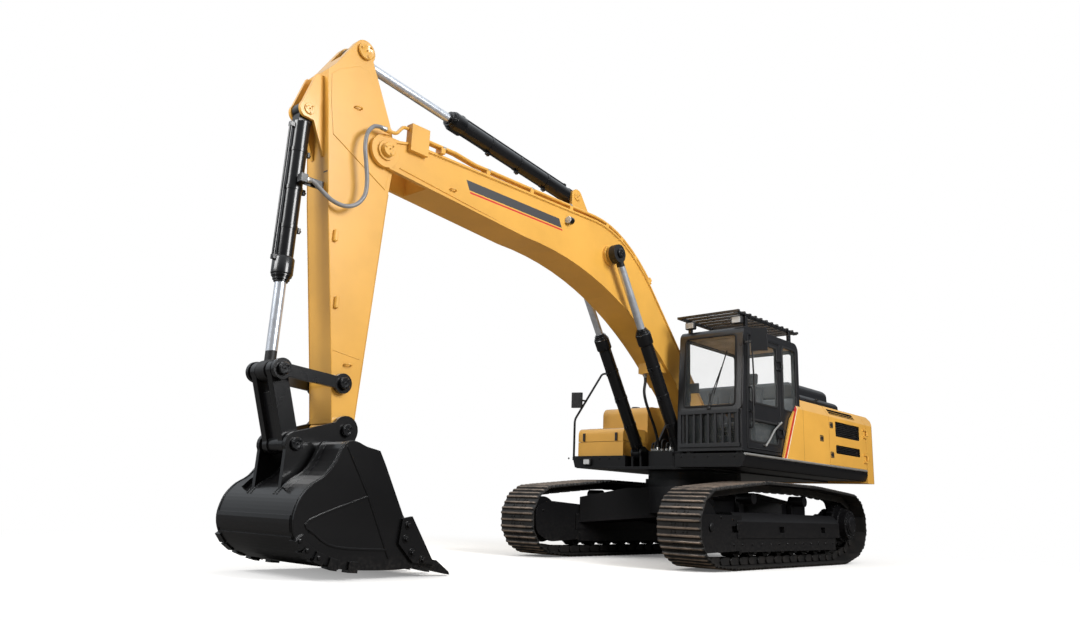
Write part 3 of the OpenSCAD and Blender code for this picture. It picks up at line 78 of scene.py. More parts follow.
# %% [markdown]
# ## Sums with shader sockets
# A finish is a small formula: a base colour, less a little where dust lies, more where steel is rubbed
# bright and given a painted highlight. Written as a chain of nodes that formula is hard to read. One class
# that wraps a socket and takes part in Python sums keeps it on one line.

# %% Socket class


class Sock:
    """An output socket of a node tree that takes part in sums; with no socket it is the bare tree."""

    def __init__(self, tree, socket=None):
        self.tree = tree
        self.socket = socket

    def node(self, kind, settings=None, sockets=None, out=0):
        """Adds a node, sets its settings, then gives its sockets values or links, and returns one output."""
        made = self.tree.nodes.new("ShaderNode" + kind)
        for key, value in (settings or {}).items():
            setattr(made, key, value)
        for key, value in (sockets or {}).items():
            if isinstance(value, Sock):
                self.tree.links.new(value.socket, made.inputs[key])
            else:
                made.inputs[key].default_value = value
        return Sock(self.tree, made.outputs[out])

    def math(self, operation, a, b=0.0):
        """One Math node."""
        return self.node("Math", {"operation": operation}, {0: a, 1: b})

    def __add__(self, other):
        return self.math("ADD", self, other)

    __radd__ = __add__

    def __sub__(self, other):
        return self.math("SUBTRACT", self, other)

    def __rsub__(self, other):
        return self.math("SUBTRACT", other, self)

    def __mul__(self, other):
        return self.math("MULTIPLY", self, other)

    __rmul__ = __mul__

    def root(self):
        """The square root of the value."""
        return self.math("SQRT", self)

    def clamp(self, low, high):
        """The value brought from low..high to 0..1 and held there, with a soft start and end."""
        return self.node("MapRange", {"interpolation_type": "SMOOTHSTEP"}, {0: self, 1: low, 2: high})

    def mix(self, a, b):
        """Colour a where this value is 0 and colour b where it is 1."""
        return self.node("Mix", {"data_type": "RGBA"}, {0: self, 6: a, 7: b}, out=2)


def rgb(red, green, blue):
    """A screen colour in 0..255 as the linear colour that a shader takes."""
    c = np.array([red, green, blue]) / 255.0
    c = np.where(c < 0.04045, c / 12.92, ((c + 0.055) / 1.055) ** 2.4)
    return tuple(c.tolist()) + (1.0,)


print("socket class ready")

# %% [markdown]
# ## A bare material to start each finish from
# Every finish is one Principled shader, and most read the object's own coordinates, so that a pattern
# stays on the steel when a joint moves. A Bevel node rounds the look of the sharp CAD edges, because real
# plate edges are broken by hand and catch a thin line of light.

# %% Material starter


def new_finish(name):
    """An empty node material: returns it, its Principled node, and the object coordinates as a Sock."""
    material = bpy.data.materials.new(name)
    material.use_nodes = True
    tree = material.node_tree
    tree.nodes.clear()
    shader = tree.nodes.new("ShaderNodeBsdfPrincipled")
    output = tree.nodes.new("ShaderNodeOutputMaterial")
    tree.links.new(shader.outputs[0], output.inputs["Surface"])
    place = Sock(tree).node("TexCoord", out="Object")
    return material, shader, place


def feed(shader, **values):
    """Gives sockets of the shader, named with underscores for spaces, a value or a link."""
    for key, value in values.items():
        socket = shader.inputs[key.replace("_", " ")]
        if isinstance(value, Sock):
            value.tree.links.new(value.socket, socket)
        else:
            socket.default_value = value


def noise(place, scale, detail=3.0, roughness=0.55):
    """Cloudy noise from 0 to 1 with this many clouds to the metre."""
    return place.node("TexNoise", None, {"Vector": place, "Scale": scale, "Detail": detail,
                                         "Roughness": roughness})


def height_of(place):
    """The height above the ground of a point on the machine at rest."""
    return place.node("SeparateXYZ", None, {0: place}, out=2)


def facing_up(place):
    """How far the surface faces upward in its own object's axes, from -1 to 1."""
    normal = place.node("TexCoord", out="Normal")
    return place.node("SeparateXYZ", None, {0: normal}, out=2)


def relief(place, height, depth, edge=0.0):
    """A bump of this depth in metres, laid on the true normal or on one rounded over the edge radius."""
    sockets = {"Height": height, "Distance": depth, "Strength": 1.0}
    if edge:
        sockets["Normal"] = place.node("Bevel", {"samples": 4}, {"Radius": edge})
    return place.node("Bump", None, sockets)


def part_of(vector, axis):
    """One coordinate, 0 to 2, of a vector socket."""
    return vector.node("SeparateXYZ", None, {0: vector}, out=axis)


def within(value, low, high, soft=0.0015):
    """1 between low and high and 0 outside, with a soft edge."""
    return value.clamp(low - soft, low + soft) * (1.0 - value.clamp(high - soft, high + soft))


print("material starter ready")

# %% [markdown]
# ## Painted steel
# The machine wears two paints: a warm golden yellow on what works and what encloses, and a near-black grey
# on what carries. Both are sprayed over cut plate, so they show a faint orange peel, a soft change of tone
# over a metre or so, and a breath of dust low down and on what faces the sky.

# %% Paints


def sprayed(name, colour, gloss, coat, dust_colour, dust_top, marks=None, sheen=0.5):
    """Two tones of one paint by broad noise, edges rounded in the bump, with dust that thins out to dust_top.
    """
    material, shader, place = new_finish(name)
    tone = noise(place, 1.3, 4.0)
    peel = noise(place, 300.0, 2.0)
    speck = noise(place, 30.0, 6.0, 0.7)
    low = 1.0 - height_of(place).clamp(0.05, dust_top)
    up = facing_up(place).clamp(0.55, 1.0)
    dust = (low * 0.30 + up * 0.10) * speck.clamp(0.40, 0.80)
    darker = tuple(0.88 * v for v in colour[:3]) + (1.0,)
    paint = tone.clamp(0.3, 0.7).mix(darker, colour)
    for mask, ink in marks(place) if marks else []:
        paint = mask.mix(paint, ink)
    feed(shader, Base_Color=dust.mix(paint, dust_colour), Roughness=gloss + dust * 0.4 + tone * 0.08,
         Coat_Weight=coat * (1.0 - dust), Coat_Roughness=0.10, Specular_IOR_Level=sheen,
         Normal=relief(place, peel * 0.2 + tone * 0.4, 0.0010, 0.006))
    return material


def boom_marks(place):
    """A plain dark bar with a thin red line under it along both sides of the boom."""
    x, z = part_of(place, 0), part_of(place, 2)
    side = part_of(place.node("TexCoord", out="Normal"), 1)
    flat = (side * side).clamp(0.6, 0.9)
    lean = x - (z - 4.1) * 0.5
    span = within(lean, 3.45, 5.05) * flat
    return [(span * within(z, 4.10, 4.21), rgb(66, 67, 70)),
            (span * within(z, 4.065, 4.085), rgb(196, 40, 44))]


def panel_marks(place):
    """Two slanting lines, red and white, along the panel's front edge, and an upright seam behind them."""
    across = (part_of(place, 0) - 0.14) * -0.891 + (part_of(place, 2) - 1.44) * -0.4535
    return [(within(across, 0.060, 0.105), rgb(190, 36, 42)),
            (within(across, 0.116, 0.130), rgb(226, 224, 220)),
            (within(part_of(place, 0), -0.561, -0.555, 0.001), rgb(92, 66, 24))]


def grille_painted_shade(place):
    """Slats and opening walls, all that lies behind the outer skin there, are black: painted shade in the
    openings.
    """
    x, y, z = (part_of(place, k) for k in range(3))
    depth = (y * y).root()
    tall = within(z, 1.62, 1.77) + within(z, 1.88, 2.13)
    upright = within(x, -2.64, -1.66) * tall * (1.0 - depth.clamp(1.4855, 1.4875))
    behind = 1.0 - (depth + (z - 2.175) * 0.636).clamp(1.485, 1.488)
    sloped = within(x, -2.545, -1.53) * within(z, 2.2195, 2.3055) * behind
    return [((upright + sloped).clamp(0.2, 0.8), rgb(20, 20, 21))]


def arm_marks(place):
    """Black: the bracket of the hose port, ahead of the front plate, and the ends of the two low pins."""
    x, y, z = (part_of(place, k) for k in range(3))
    bracket = x.clamp(6.850, 6.853) * within(z, 3.40, 3.75) * y.clamp(0.098, 0.100)
    low_pins = (y * y).root().clamp(0.200, 0.203) * (1.0 - z.clamp(1.90, 1.92))
    return [((bracket + low_pins).clamp(0.2, 0.8), rgb(17, 18, 21))]


def lid_marks(place):
    """The latches on the front of the toolbox lid are black."""
    return [(part_of(place, 0).clamp(0.9570, 0.9578), rgb(24, 24, 26))]


dust_warm = rgb(190, 168, 138)
dust_grey = rgb(82, 79, 76)
yellow = rgb(223, 170, 76)
machine_yellow = sprayed("machine_yellow", yellow, 0.30, 0.6, dust_warm, 1.0)
boom_yellow = sprayed("boom_yellow", yellow, 0.30, 0.6, dust_warm, 1.0, boom_marks)
panel_yellow = sprayed("panel_yellow", yellow, 0.30, 0.6, dust_warm, 1.0, panel_marks)
# The doors' paint carries painted shade: black inside the air openings
door_yellow = sprayed("door_yellow", yellow, 0.30, 0.6, dust_warm, 1.0, grille_painted_shade)
arm_yellow = sprayed("arm_yellow", yellow, 0.30, 0.6, dust_warm, 1.0, arm_marks)
lid_yellow = sprayed("lid_yellow", yellow, 0.30, 0.6, dust_warm, 1.0, lid_marks)
frame_black = sprayed("frame_black", rgb(15, 15, 17), 0.36, 0.12, dust_grey, 0.8, None, 0.3)
cab_grey = sprayed("cab_grey", rgb(30, 31, 34), 0.30, 0.4, dust_grey, 1.0)
hood_black = sprayed("hood_black", rgb(30, 31, 35), 0.32, 0.5, dust_grey, 1.0)
cylinder_black = sprayed("cylinder_black", rgb(15, 16, 19), 0.24, 0.5, dust_grey, 0.5, None, 0.4)
bucket_black = sprayed("bucket_black", rgb(11, 11, 13), 0.26, 0.4, dust_grey, 0.25, None, 0.4)
print("paints made")

# %% [markdown]
# ## Bare metal, glass and rubber
# Piston rods are hard chrome, ground round the rod, so their fine scratches run round it. Pins and hinge
# bars are turned steel. The panes are clear safety glass with a slight tint.

# %% Metals and glass


def bright_steel(name, colour, rough, stretch, eye=None, bare=0.72):
    """Ground metal: noise squeezed along one axis gives fine scratches; the eye (x, z) is painted black."""
    material, shader, place = new_finish(name)
    drawn = place.node("Mapping", None, {"Vector": place, "Scale": stretch})
    lines = noise(drawn, 1.0, 3.0)
    tone = noise(place, 9.0, 3.0)
    duller = tuple(0.80 * v for v in colour[:3]) + (1.0,)
    look = tone.clamp(0.3, 0.7).mix(duller, colour)
    metal, gloss = bare, rough + lines * 0.10
    if eye:
        x, z = part_of(place, 0) - eye[0], part_of(place, 2) - eye[1]
        steel = (x * x + z * z).root().clamp(0.178, 0.182)
        look = steel.mix(rgb(19, 20, 23), look)
        metal, gloss = steel * bare, gloss + (1.0 - steel) * 0.2
    feed(shader, Base_Color=look, Metallic=metal, Roughness=gloss, Normal=relief(place, lines, 0.0002, 0.003))
    return material


def clear_pane(name, tint):
    """Thin glass: mostly see-through, with a film of dust that only its alpha and roughness show."""
    material, shader, place = new_finish(name)
    film = noise(place, 4.0, 4.0)
    dusty = film.clamp(0.3, 0.8).mix(tint, (0.5, 0.55, 0.56, 1.0))
    feed(shader, Base_Color=dusty, Roughness=0.02 + film * 0.04, Alpha=0.03 + film * 0.04, IOR=1.45,
         Specular_IOR_Level=0.5)
    return material


def rubber(name, colour, rough=0.55):
    """Matt rubber or moulded plastic with a fine grain."""
    material, shader, place = new_finish(name)
    grain = noise(place, 420.0, 2.0)
    tone = noise(place, 6.0, 3.0)
    paler = tuple(min(1.0, 1.3 * v + 0.004) for v in colour[:3]) + (1.0,)
    feed(shader, Base_Color=tone.clamp(0.35, 0.75).mix(colour, paler), Roughness=rough + tone * 0.2,
         Normal=relief(place, grain, 0.0004))
    return material


def track_cast(name):
    """Rolled shoe steel: black in the valleys, rubbed bare where the attribute is high, and brightened there
    as a painted highlight.
    """
    material, shader, place = new_finish(name)
    worn = place.node("Attribute", {"attribute_name": "worn"}, out="Fac")
    grain = noise(place, 70.0, 5.0, 0.65)
    patch = noise(place, 7.0, 4.0)
    # Bare steel rubbed bright on the crests, made brighter still as a painted highlight
    rub_and_highlight = (worn * (0.35 + patch * 0.9) + (grain - 0.5) * 0.5).clamp(0.45, 0.95)
    base = patch.clamp(0.3, 0.75).mix(rgb(20, 20, 20), rgb(38, 35, 33))
    feed(shader, Base_Color=rub_and_highlight.mix(base, rgb(146, 132, 120)), Metallic=rub_and_highlight * 0.7,
         Roughness=0.46 - rub_and_highlight * 0.12 + grain * 0.12, Normal=relief(place, grain, 0.0012, 0.004))
    return material


def seat_cloth(name, colour):
    """Woven seat cover: two crossed wave patterns lift the threads."""
    material, shader, place = new_finish(name)
    threads = {"Vector": place, "Scale": 160.0, "Distortion": 0.6}
    weft = place.node("TexWave", {"bands_direction": "Y"}, threads)
    warp = place.node("TexWave", {"bands_direction": "Z"}, threads)
    weave = place.math("MAXIMUM", part_of(weft, 0), part_of(warp, 0))
    paler = tuple(1.7 * v for v in colour[:3]) + (1.0,)
    feed(shader, Base_Color=(weave * noise(place, 12.0)).mix(colour, paler), Roughness=0.85 - weave * 0.1,
         Sheen_Weight=0.3, Normal=relief(place, weave, 0.0008))
    return material


chrome = rgb(222, 229, 240)
boom_chrome = bright_steel("boom_chrome", chrome, 0.26, (9.0, 9.0, 400.0), (2.47, 3.98))
arm_chrome = bright_steel("arm_chrome", chrome, 0.26, (400.0, 9.0, 9.0), (6.56, 5.14))
bucket_chrome = bright_steel("bucket_chrome", chrome, 0.26, (9.0, 9.0, 400.0), (7.14, 1.77))
turned_steel = bright_steel("turned_steel", rgb(190, 190, 188), 0.28, (300.0, 20.0, 300.0))
mirror_glass = bright_steel("mirror_glass", rgb(210, 216, 220), 0.02, (2.0, 2.0, 2.0), None, 1.0)
window_glass = clear_pane("window_glass", (0.30, 0.36, 0.38, 1.0))
seal_rubber = rubber("seal_rubber", rgb(15, 15, 16))
black_plastic = rubber("black_plastic", rgb(24, 24, 26), 0.40)
console_plastic = rubber("console_plastic", rgb(40, 41, 44), 0.45)
trim_pale = rubber("trim_pale", rgb(122, 128, 134), 0.5)
headliner_tan = rubber("headliner_tan", rgb(172, 152, 124), 0.75)
lamp_lens = rubber("lamp_lens", rgb(196, 200, 204), 0.08)
red_lens = rubber("red_lens", rgb(150, 22, 20), 0.10)
hose_grey = rubber("hose_grey", rgb(118, 120, 124), 0.28)
hose_black = rubber("hose_black", rgb(20, 20, 21), 0.45)
track_steel = track_cast("track_steel")
cloth_dark = seat_cloth("cloth_dark", rgb(58, 60, 64))
engine_iron = sprayed("engine_iron", rgb(70, 70, 72), 0.5, 0.0, dust_grey, 1.5)
print("metals, glass and rubber made")

# %% [markdown]
# ## Which finish goes where
# On the real machine each plate or casting is painted before it is put together, so every CAD solid gets one
# finish. The list names the solids under their finish. A marked paint draws its own stripes and dark
# openings, so no solid has to be cut up for its colours.

# %% Finish of each CAD node
FINISH = {
    machine_yellow: ["counterweight", "engine_cover", "fuel_tank", "hydraulic_tank", "toolbox", "boom_tubes"],
    boom_yellow: ["boom"],
    arm_yellow: ["arm"],
    lid_yellow: ["toolbox_lid"],
    panel_yellow: ["left_side_panel"],
    door_yellow: ["left_cooler_door", "right_pump_door"],
    frame_black: ["car_body", "left_track_frame", "right_track_frame", "left_idler", "right_idler",
                  "left_final_drive", "right_final_drive", "main_frame", "right_handrail"],
    cab_grey: ["cab_frame", "cab_roof", "cab_door", "roof_guard", "front_guard", "cab_mirror"],
    hood_black: ["engine_hood", "exhaust_stack"],
    cylinder_black: ["left_boom_barrel", "right_boom_barrel", "arm_barrel", "bucket_barrel", "boom_lamps",
                     "left_rocker", "right_rocker", "bucket_link"],
    bucket_black: ["bucket"],
    boom_chrome: ["left_boom_rod", "right_boom_rod"],
    arm_chrome: ["arm_rod"],
    bucket_chrome: ["bucket_rod"],
    turned_steel: ["door_rail"],
    window_glass: ["cab_glass", "cab_door_glass"],
    console_plastic: ["left_console", "right_console", "travel_levers", "seat"],
    engine_iron: ["engine_block"],
    hose_grey: ["arm_hose"],
    hose_black: ["left_boom_hose", "right_boom_hose"],
    track_steel: ["left_track", "right_track"],
}
for material, names in FINISH.items():
    for name in names:
        mesh = nodes[name].data
        mesh.materials.clear()
        mesh.materials.append(material)
unpainted = sorted(set(nodes) - {n for names in FINISH.values() for n in names})
print("nodes without a finish", unpainted)

# %% [markdown]
# ## Surfaces from arrays
# Each new piece is a grid of points worked out with numpy: one parameter runs round a profile and the
# other along a path. Blender's curve objects could do some of this, but arrays keep every point in hand.

# %% Mesh helpers


def grid_faces(rows, cols, wrap_rows=False, wrap_cols=False):
    """Quads between neighbouring points of a grid stored row after row, wrapped round where asked."""
    i, j = np.meshgrid(np.arange(rows if wrap_rows else rows - 1),
                       np.arange(cols if wrap_cols else cols - 1), indexing="ij")
    i2, j2 = (i + 1) % rows, (j + 1) % cols
    return np.stack([i * cols + j, i2 * cols + j, i2 * cols + j2, i * cols + j2], -1).reshape(-1, 4).tolist()


def skin(grid, wrap_rows=False, wrap_cols=False):
    """A grid of points as (points, faces); a closed profile (wrapped columns) gets flat caps at both ends."""
    rows, cols = grid.shape[:2]
    faces = grid_faces(rows, cols, wrap_rows, wrap_cols)
    if wrap_cols and not wrap_rows:
        faces.append(list(range(cols)))
        faces.append(list(range((rows - 1) * cols, rows * cols))[::-1])
    return grid.reshape(-1, 3), faces


def joined(parts):
    """Several (points, faces) as one."""
    starts = np.cumsum([0] + [len(p) for p, f in parts])
    points = np.concatenate([p for p, f in parts])
    faces = [[int(k + s) for k in face] for (p, f), s in zip(parts, starts) for face in f]
    return points, faces


def copies(part, axes, origins):
    """A shape repeated: point = origin + its coordinates along three axes, for every copy at once."""
    points, faces = part
    placed = np.einsum("nab,pa->npb", axes, points) + origins[:, None, :]
    index = np.arange(len(origins)) * len(points)
    every = [[int(k + s) for k in face] for s in index for face in faces]
    return placed.reshape(-1, 3), every


sharp_fold = np.radians(35.0)


def piece(name, part, material, body, stands_for=(), worn=None):
    """Puts (points, faces) into a mesh object with outward normals that rides on a body."""
    points, faces = part
    mesh = bpy.data.meshes.new(name)
    mesh.from_pydata(points.tolist(), [], faces)
    work = bmesh.new()
    work.from_mesh(mesh)
    bmesh.ops.recalc_face_normals(work, faces=work.faces)
    work.to_mesh(mesh)
    work.free()
    mesh.shade_smooth()
    mesh.set_sharp_from_angle(angle=sharp_fold)
    mesh.materials.append(material)
    if worn is not None:
        mesh.attributes.new("worn", "FLOAT", "POINT").data.foreach_set("value", worn.astype(np.float32))
    thing = bpy.data.objects.new(name, mesh)
    bpy.context.scene.collection.objects.link(thing)
    if body:
        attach(thing, body)
    if stands_for:
        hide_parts(*stands_for)
    return thing


def frames_along(path):
    """Two unit vectors square to the path at each point, carried along it without twisting."""
    way = np.gradient(path, axis=0)
    way /= np.linalg.norm(way, axis=1, keepdims=True)
    side = np.zeros_like(path)
    seed = np.eye(3)[np.argmin(np.abs(way[0]))]
    for k in range(len(path)):
        seed = seed - way[k] * (seed @ way[k])
        seed = seed / np.linalg.norm(seed)
        side[k] = seed
    return side, np.cross(way, side)


def tube(path, radius, sides=12):
    """A circle carried along a path: point = path + radius times (cos, sin) of the angle round it."""
    path = np.asarray(path, float)
    side, other = frames_along(path)
    angle = np.linspace(0.0, 2.0 * np.pi, sides, endpoint=False)
    radius = np.broadcast_to(radius, len(path))[:, None, None]
    ring = np.cos(angle)[None, :, None] * side[:, None, :] + np.sin(angle)[None, :, None] * other[:, None, :]
    return skin(path[:, None, :] + radius * ring, wrap_cols=True)


def hoop(path, normal, wide, thick):
    """A closed flat path with an eight-sided section: half widths in its plane and along its normal."""
    path, normal = np.asarray(path, float), np.asarray(normal, float)
    way = np.roll(path, -1, axis=0) - np.roll(path, 1, axis=0)
    side = np.cross(way, normal)
    side /= np.linalg.norm(side, axis=1, keepdims=True)
    angle = np.arange(8) * np.pi / 4.0
    grid = path[:, None, :] + wide * np.cos(angle)[None, :, None] * side[:, None, :]
    return skin(grid + thick * np.sin(angle)[None, :, None] * normal, wrap_rows=True, wrap_cols=True)


def facing(normal):
    """Three axes, as rows, whose third is the normal."""
    normal = np.asarray(normal, float) / np.linalg.norm(normal)
    first = np.cross(normal, np.eye(3)[np.argmin(np.abs(normal))])
    first /= np.linalg.norm(first)
    return np.stack([first, np.cross(normal, first), normal])


# A turned face ends this near to its axis, so that its last ring is not a single point
near_axis = 0.0005


def lathe(profile, origin, axis, sides=24):
    """A profile of (radius, height) turned round an axis through the origin."""
    profile = np.asarray(profile, float)
    angle = np.linspace(0.0, 2.0 * np.pi, sides, endpoint=False)
    ring = np.stack([np.cos(angle), np.sin(angle), np.zeros(sides)], -1)
    grid = profile[:, None, :1] * ring[None] + profile[:, None, 1:] * np.array([0.0, 0.0, 1.0])
    return skin(grid @ facing(axis) + np.asarray(origin, float), wrap_cols=True)


def block(low, high, edge=0.004):
    """A box with every edge cut off at 45 degrees: an eight-sided outline drawn in at both ends."""
    low, high = np.asarray(low, float), np.asarray(high, float)
    (x0, y0, z0), (x1, y1, z1) = low, high
    e = edge

    def outline(d):
        return [[x0 + e, y0 + d], [x1 - e, y0 + d], [x1 - d, y0 + e], [x1 - d, y1 - e],
                [x1 - e, y1 - d], [x0 + e, y1 - d], [x0 + d, y1 - e], [x0 + d, y0 + e]]

    flat = np.array([outline(e), outline(0.0), outline(0.0), outline(e)])
    tall = np.array([z0, z0 + e, z1 - e, z1])[:, None, None]
    return skin(np.concatenate([flat, np.broadcast_to(tall, (4, 8, 1))], -1), wrap_cols=True)


def rounded(corners, radius, steps=5):
    """A closed outline in a plane with rounded corners: each is a short curve bent towards its corner."""
    c = np.asarray(corners, float)
    back, ahead = np.roll(c, 1, axis=0) - c, np.roll(c, -1, axis=0) - c
    back *= radius / np.linalg.norm(back, axis=1, keepdims=True)
    ahead *= radius / np.linalg.norm(ahead, axis=1, keepdims=True)
    t = np.linspace(0.0, 1.0, steps)[None, :, None]
    c, back, ahead = c[:, None], back[:, None], ahead[:, None]
    return (c + back * (1 - t) ** 2 + ahead * t ** 2).reshape(-1, 2)


def plate(outline, y0, y1):
    """A flat outline of (x, z) given thickness from y0 to y1."""
    outline = np.asarray(outline, float)
    grid = np.stack([np.insert(outline, 1, y, axis=1) for y in (y0, y1)])
    return skin(grid, wrap_cols=True)


def mirrored(part):
    """The same part on the other side of the machine."""
    points, faces = part
    return points * [1.0, -1.0, 1.0], faces


def pair(part):
    """A part and its mirror image."""
    return joined([part, mirrored(part)])


BOLT = joined([lathe([(1.55, 0.0), (1.55, 0.25)], (0, 0, 0), (0, 0, 1), 12),
               lathe([(1.0, 0.2), (1.0, 1.0), (0.86, 1.15)], (0, 0, 0), (0, 0, 1), 6)])


def bolts(places, normal, size):
    """Hexagon bolts with washers, of this half width, standing on places with one normal."""
    places = np.asarray(places, float)
    axes = np.repeat(facing(normal)[None] * size, len(places), axis=0)
    return copies(BOLT, axes, places)


def ring(centre, normal, radius, count, start=0.0):
    """Points spaced evenly round a circle."""
    angle = start + np.arange(count) * 2.0 * np.pi / count
    first, second, _ = facing(normal)
    outward = np.cos(angle)[:, None] * first + np.sin(angle)[:, None] * second
    return np.asarray(centre, float) + radius * outward


def through(points, steps=6):
    """A smooth curve through points: each stretch is a cubic whose slope follows its neighbours."""
    p = np.asarray(points, float)
    p = np.concatenate([p[:1], p, p[-1:]])
    t = np.linspace(0.0, 1.0, steps, endpoint=False)[None, :, None]
    a, b, c, d = (p[k:len(p) - 3 + k, None, :] for k in range(4))
    curve = 0.5 * (2 * b + (c - a) * t + (2 * a - 5 * b + 4 * c - d) * t ** 2
                   + (3 * b - a - 3 * c + d) * t ** 3)
    return np.concatenate([curve.reshape(-1, 3), p[-1:]])


print("mesh helpers ready")

# %% [markdown]
# ## Track shoes and chain
# A track is a chain of cast links with a rolled steel shoe bolted to each. Each shoe has three bars that bite
# the ground and overlaps its neighbour a little. The CAD solid is one plain belt, so here every shoe, link,
# bush and bolt is drawn. The loop round the wheels gives a point for each pitch, and one shoe is repeated
# there.

# %% Tracks
shoe_t, bar_top, track_y = 0.016, 0.044, 1.295
shoe_count, link_pitch = 46, 0.19
circles = np.array([[-1.635, 0.164, 0.12], [1.635, 0.164, 0.12], [2.015, 0.505, 0.43], [0.76, 0.94, 0.12],
                    [-0.76, 0.94, 0.12], [-2.015, 0.565, 0.43]])


def loop_points(circles, count):
    """Points evenly spaced along a belt round the circles: arcs joined by their common tangents."""
    centre, radius = circles[:, :2], circles[:, 2]
    step = np.roll(centre, -1, axis=0) - centre
    apart = np.linalg.norm(step, axis=1)
    leave = np.arctan2(step[:, 1], step[:, 0]) - np.arccos((radius - np.roll(radius, -1)) / apart)
    turn = (leave - np.roll(leave, 1)) % (2.0 * np.pi)
    out = np.stack([np.cos(leave), np.sin(leave)], -1)
    run = np.linalg.norm(step + (np.roll(radius, -1) - radius)[:, None] * out, axis=1)
    start = np.concatenate([[0.0], np.cumsum(radius * turn + run)])
    s = np.arange(count) * start[-1] / count
    i = np.searchsorted(start, s, side="right") - 1
    past = s - start[i]
    on_arc = np.minimum(past, (radius * turn)[i])
    angle = leave[i] - turn[i] + on_arc / radius[i]
    point = centre[i] + radius[i][:, None] * np.stack([np.cos(angle), np.sin(angle)], -1)
    return point + (past - on_arc)[:, None] * np.stack([-np.sin(angle), np.cos(angle)], -1)


def shoe_part():
    """One shoe as (share of the pitch, across, height): a bar profile whose bars drop towards the ends."""
    bar = np.array([[-0.085, 0.0], [-0.055, 0.82], [-0.032, 1.0], [0.032, 1.0], [0.055, 0.82], [0.085, 0.0]])
    top = np.concatenate([[[-0.02, -0.5]], *(bar + [u, 0.0] for u in (0.12, 0.5, 0.88)), [[1.02, -0.5]]])
    across = np.array([-0.300, -0.294, -0.270, 0.270, 0.294, 0.300])
    share = np.array([0.45, 0.72, 1.0, 1.0, 0.72, 0.45])[:, None]
    rise = np.maximum(top[None, :, 1], 0.0) * share
    height = shoe_t * np.where(top[None, :, 1] < 0.0, 0.5, 1.0) + (bar_top - shoe_t) * rise
    foot = np.array([[1.02, 0.0], [-0.02, 0.0]])
    along = np.concatenate([top[:, 0], foot[:, 0]])
    grid = np.zeros((6, len(along), 3))
    grid[..., 0] = along
    grid[..., 1] = across[:, None]
    grid[:, :len(top), 2] = height
    return skin(grid, wrap_cols=True), np.concatenate([rise, np.zeros((6, 2))], 1).ravel()


def link_part(side):
    """One chain link: a rounded outline whose rear end steps outward past the link behind it."""
    outline = np.array([[0.02, -0.006], [0.98, -0.006], [1.10, -0.026], [1.13, -0.055], [1.06, -0.084],
                        [0.80, -0.098], [0.20, -0.098], [-0.06, -0.084], [-0.13, -0.055], [-0.10, -0.026]])
    shift = np.where(outline[:, 0] > 0.5, 0.082, 0.058) * side
    grid = np.stack([np.stack([outline[:, 0], shift + d, outline[:, 1]], -1) for d in (-0.011, 0.011)])
    return skin(grid, wrap_cols=True)


def track_pieces(name, side):
    """Shoes with their bolts, and the chain under them, repeated along the loop on one side."""
    ends = loop_points(circles, shoe_count)
    along = np.roll(ends, -1, axis=0) - ends
    pitch = np.linalg.norm(along, axis=1)[:, None]
    axes = np.zeros((shoe_count, 3, 3))
    axes[:, 0, [0, 2]] = along
    axes[:, 1, 1] = 1.0
    axes[:, 2, 0], axes[:, 2, 2] = along[:, 1] / pitch[:, 0], -along[:, 0] / pitch[:, 0]
    origins = np.stack([ends[:, 0], np.full(shoe_count, side * track_y), ends[:, 1]], -1)
    shoe, rise = shoe_part()
    seats = np.array([[u, v, shoe_t - 0.001] for u in (0.31, 0.69) for v in (-0.105, -0.055, 0.055, 0.105)])
    nut = lathe([(0.0125, 0.0), (0.0125, 0.009), (0.010, 0.012)], (0, 0, 0), (0, 0, 1), 6)
    squeeze = np.array([1.0 / link_pitch, 1.0, 1.0])
    nuts = copies((nut[0] * squeeze, nut[1]), np.repeat(np.eye(3)[None], len(seats), axis=0), seats)
    bush = lathe([(0.030, -0.06), (0.030, 0.06)], (0, 0, 0), (0, 1, 0), 10)
    bush = (bush[0] * squeeze + [0.0, 0.0, -0.055], bush[1])
    chain = joined([link_part(1.0), link_part(-1.0), bush])
    # Crest values: rubbed bare steel, and a painted highlight on the bars too
    worn = np.tile(np.concatenate([rise, np.full(len(nuts[0]), 0.25)]), shoe_count)
    shoes = piece(name + "_shoes", copies(joined([shoe, nuts]), axes, origins), track_steel, "undercarriage",
                  stands_for=[name], worn=worn)
    dull = np.full(shoe_count * len(chain[0]), 0.3)
    piece(name + "_chain", copies(chain, axes, origins), track_steel, "undercarriage", worn=dull)
    return shoes


for name, side in (("left_track", 1.0), ("right_track", -1.0)):
    made = track_pieces(name, side)
    print(made.name, len(made.data.polygons), "faces")

# %% [markdown]
# ## Bolts and covers of the undercarriage
# The final drive is closed by a ring of bolts and a small round cover, and the idler guard and the beam's
# guards are bolted on. A ring of points and one shared bolt make all of them.

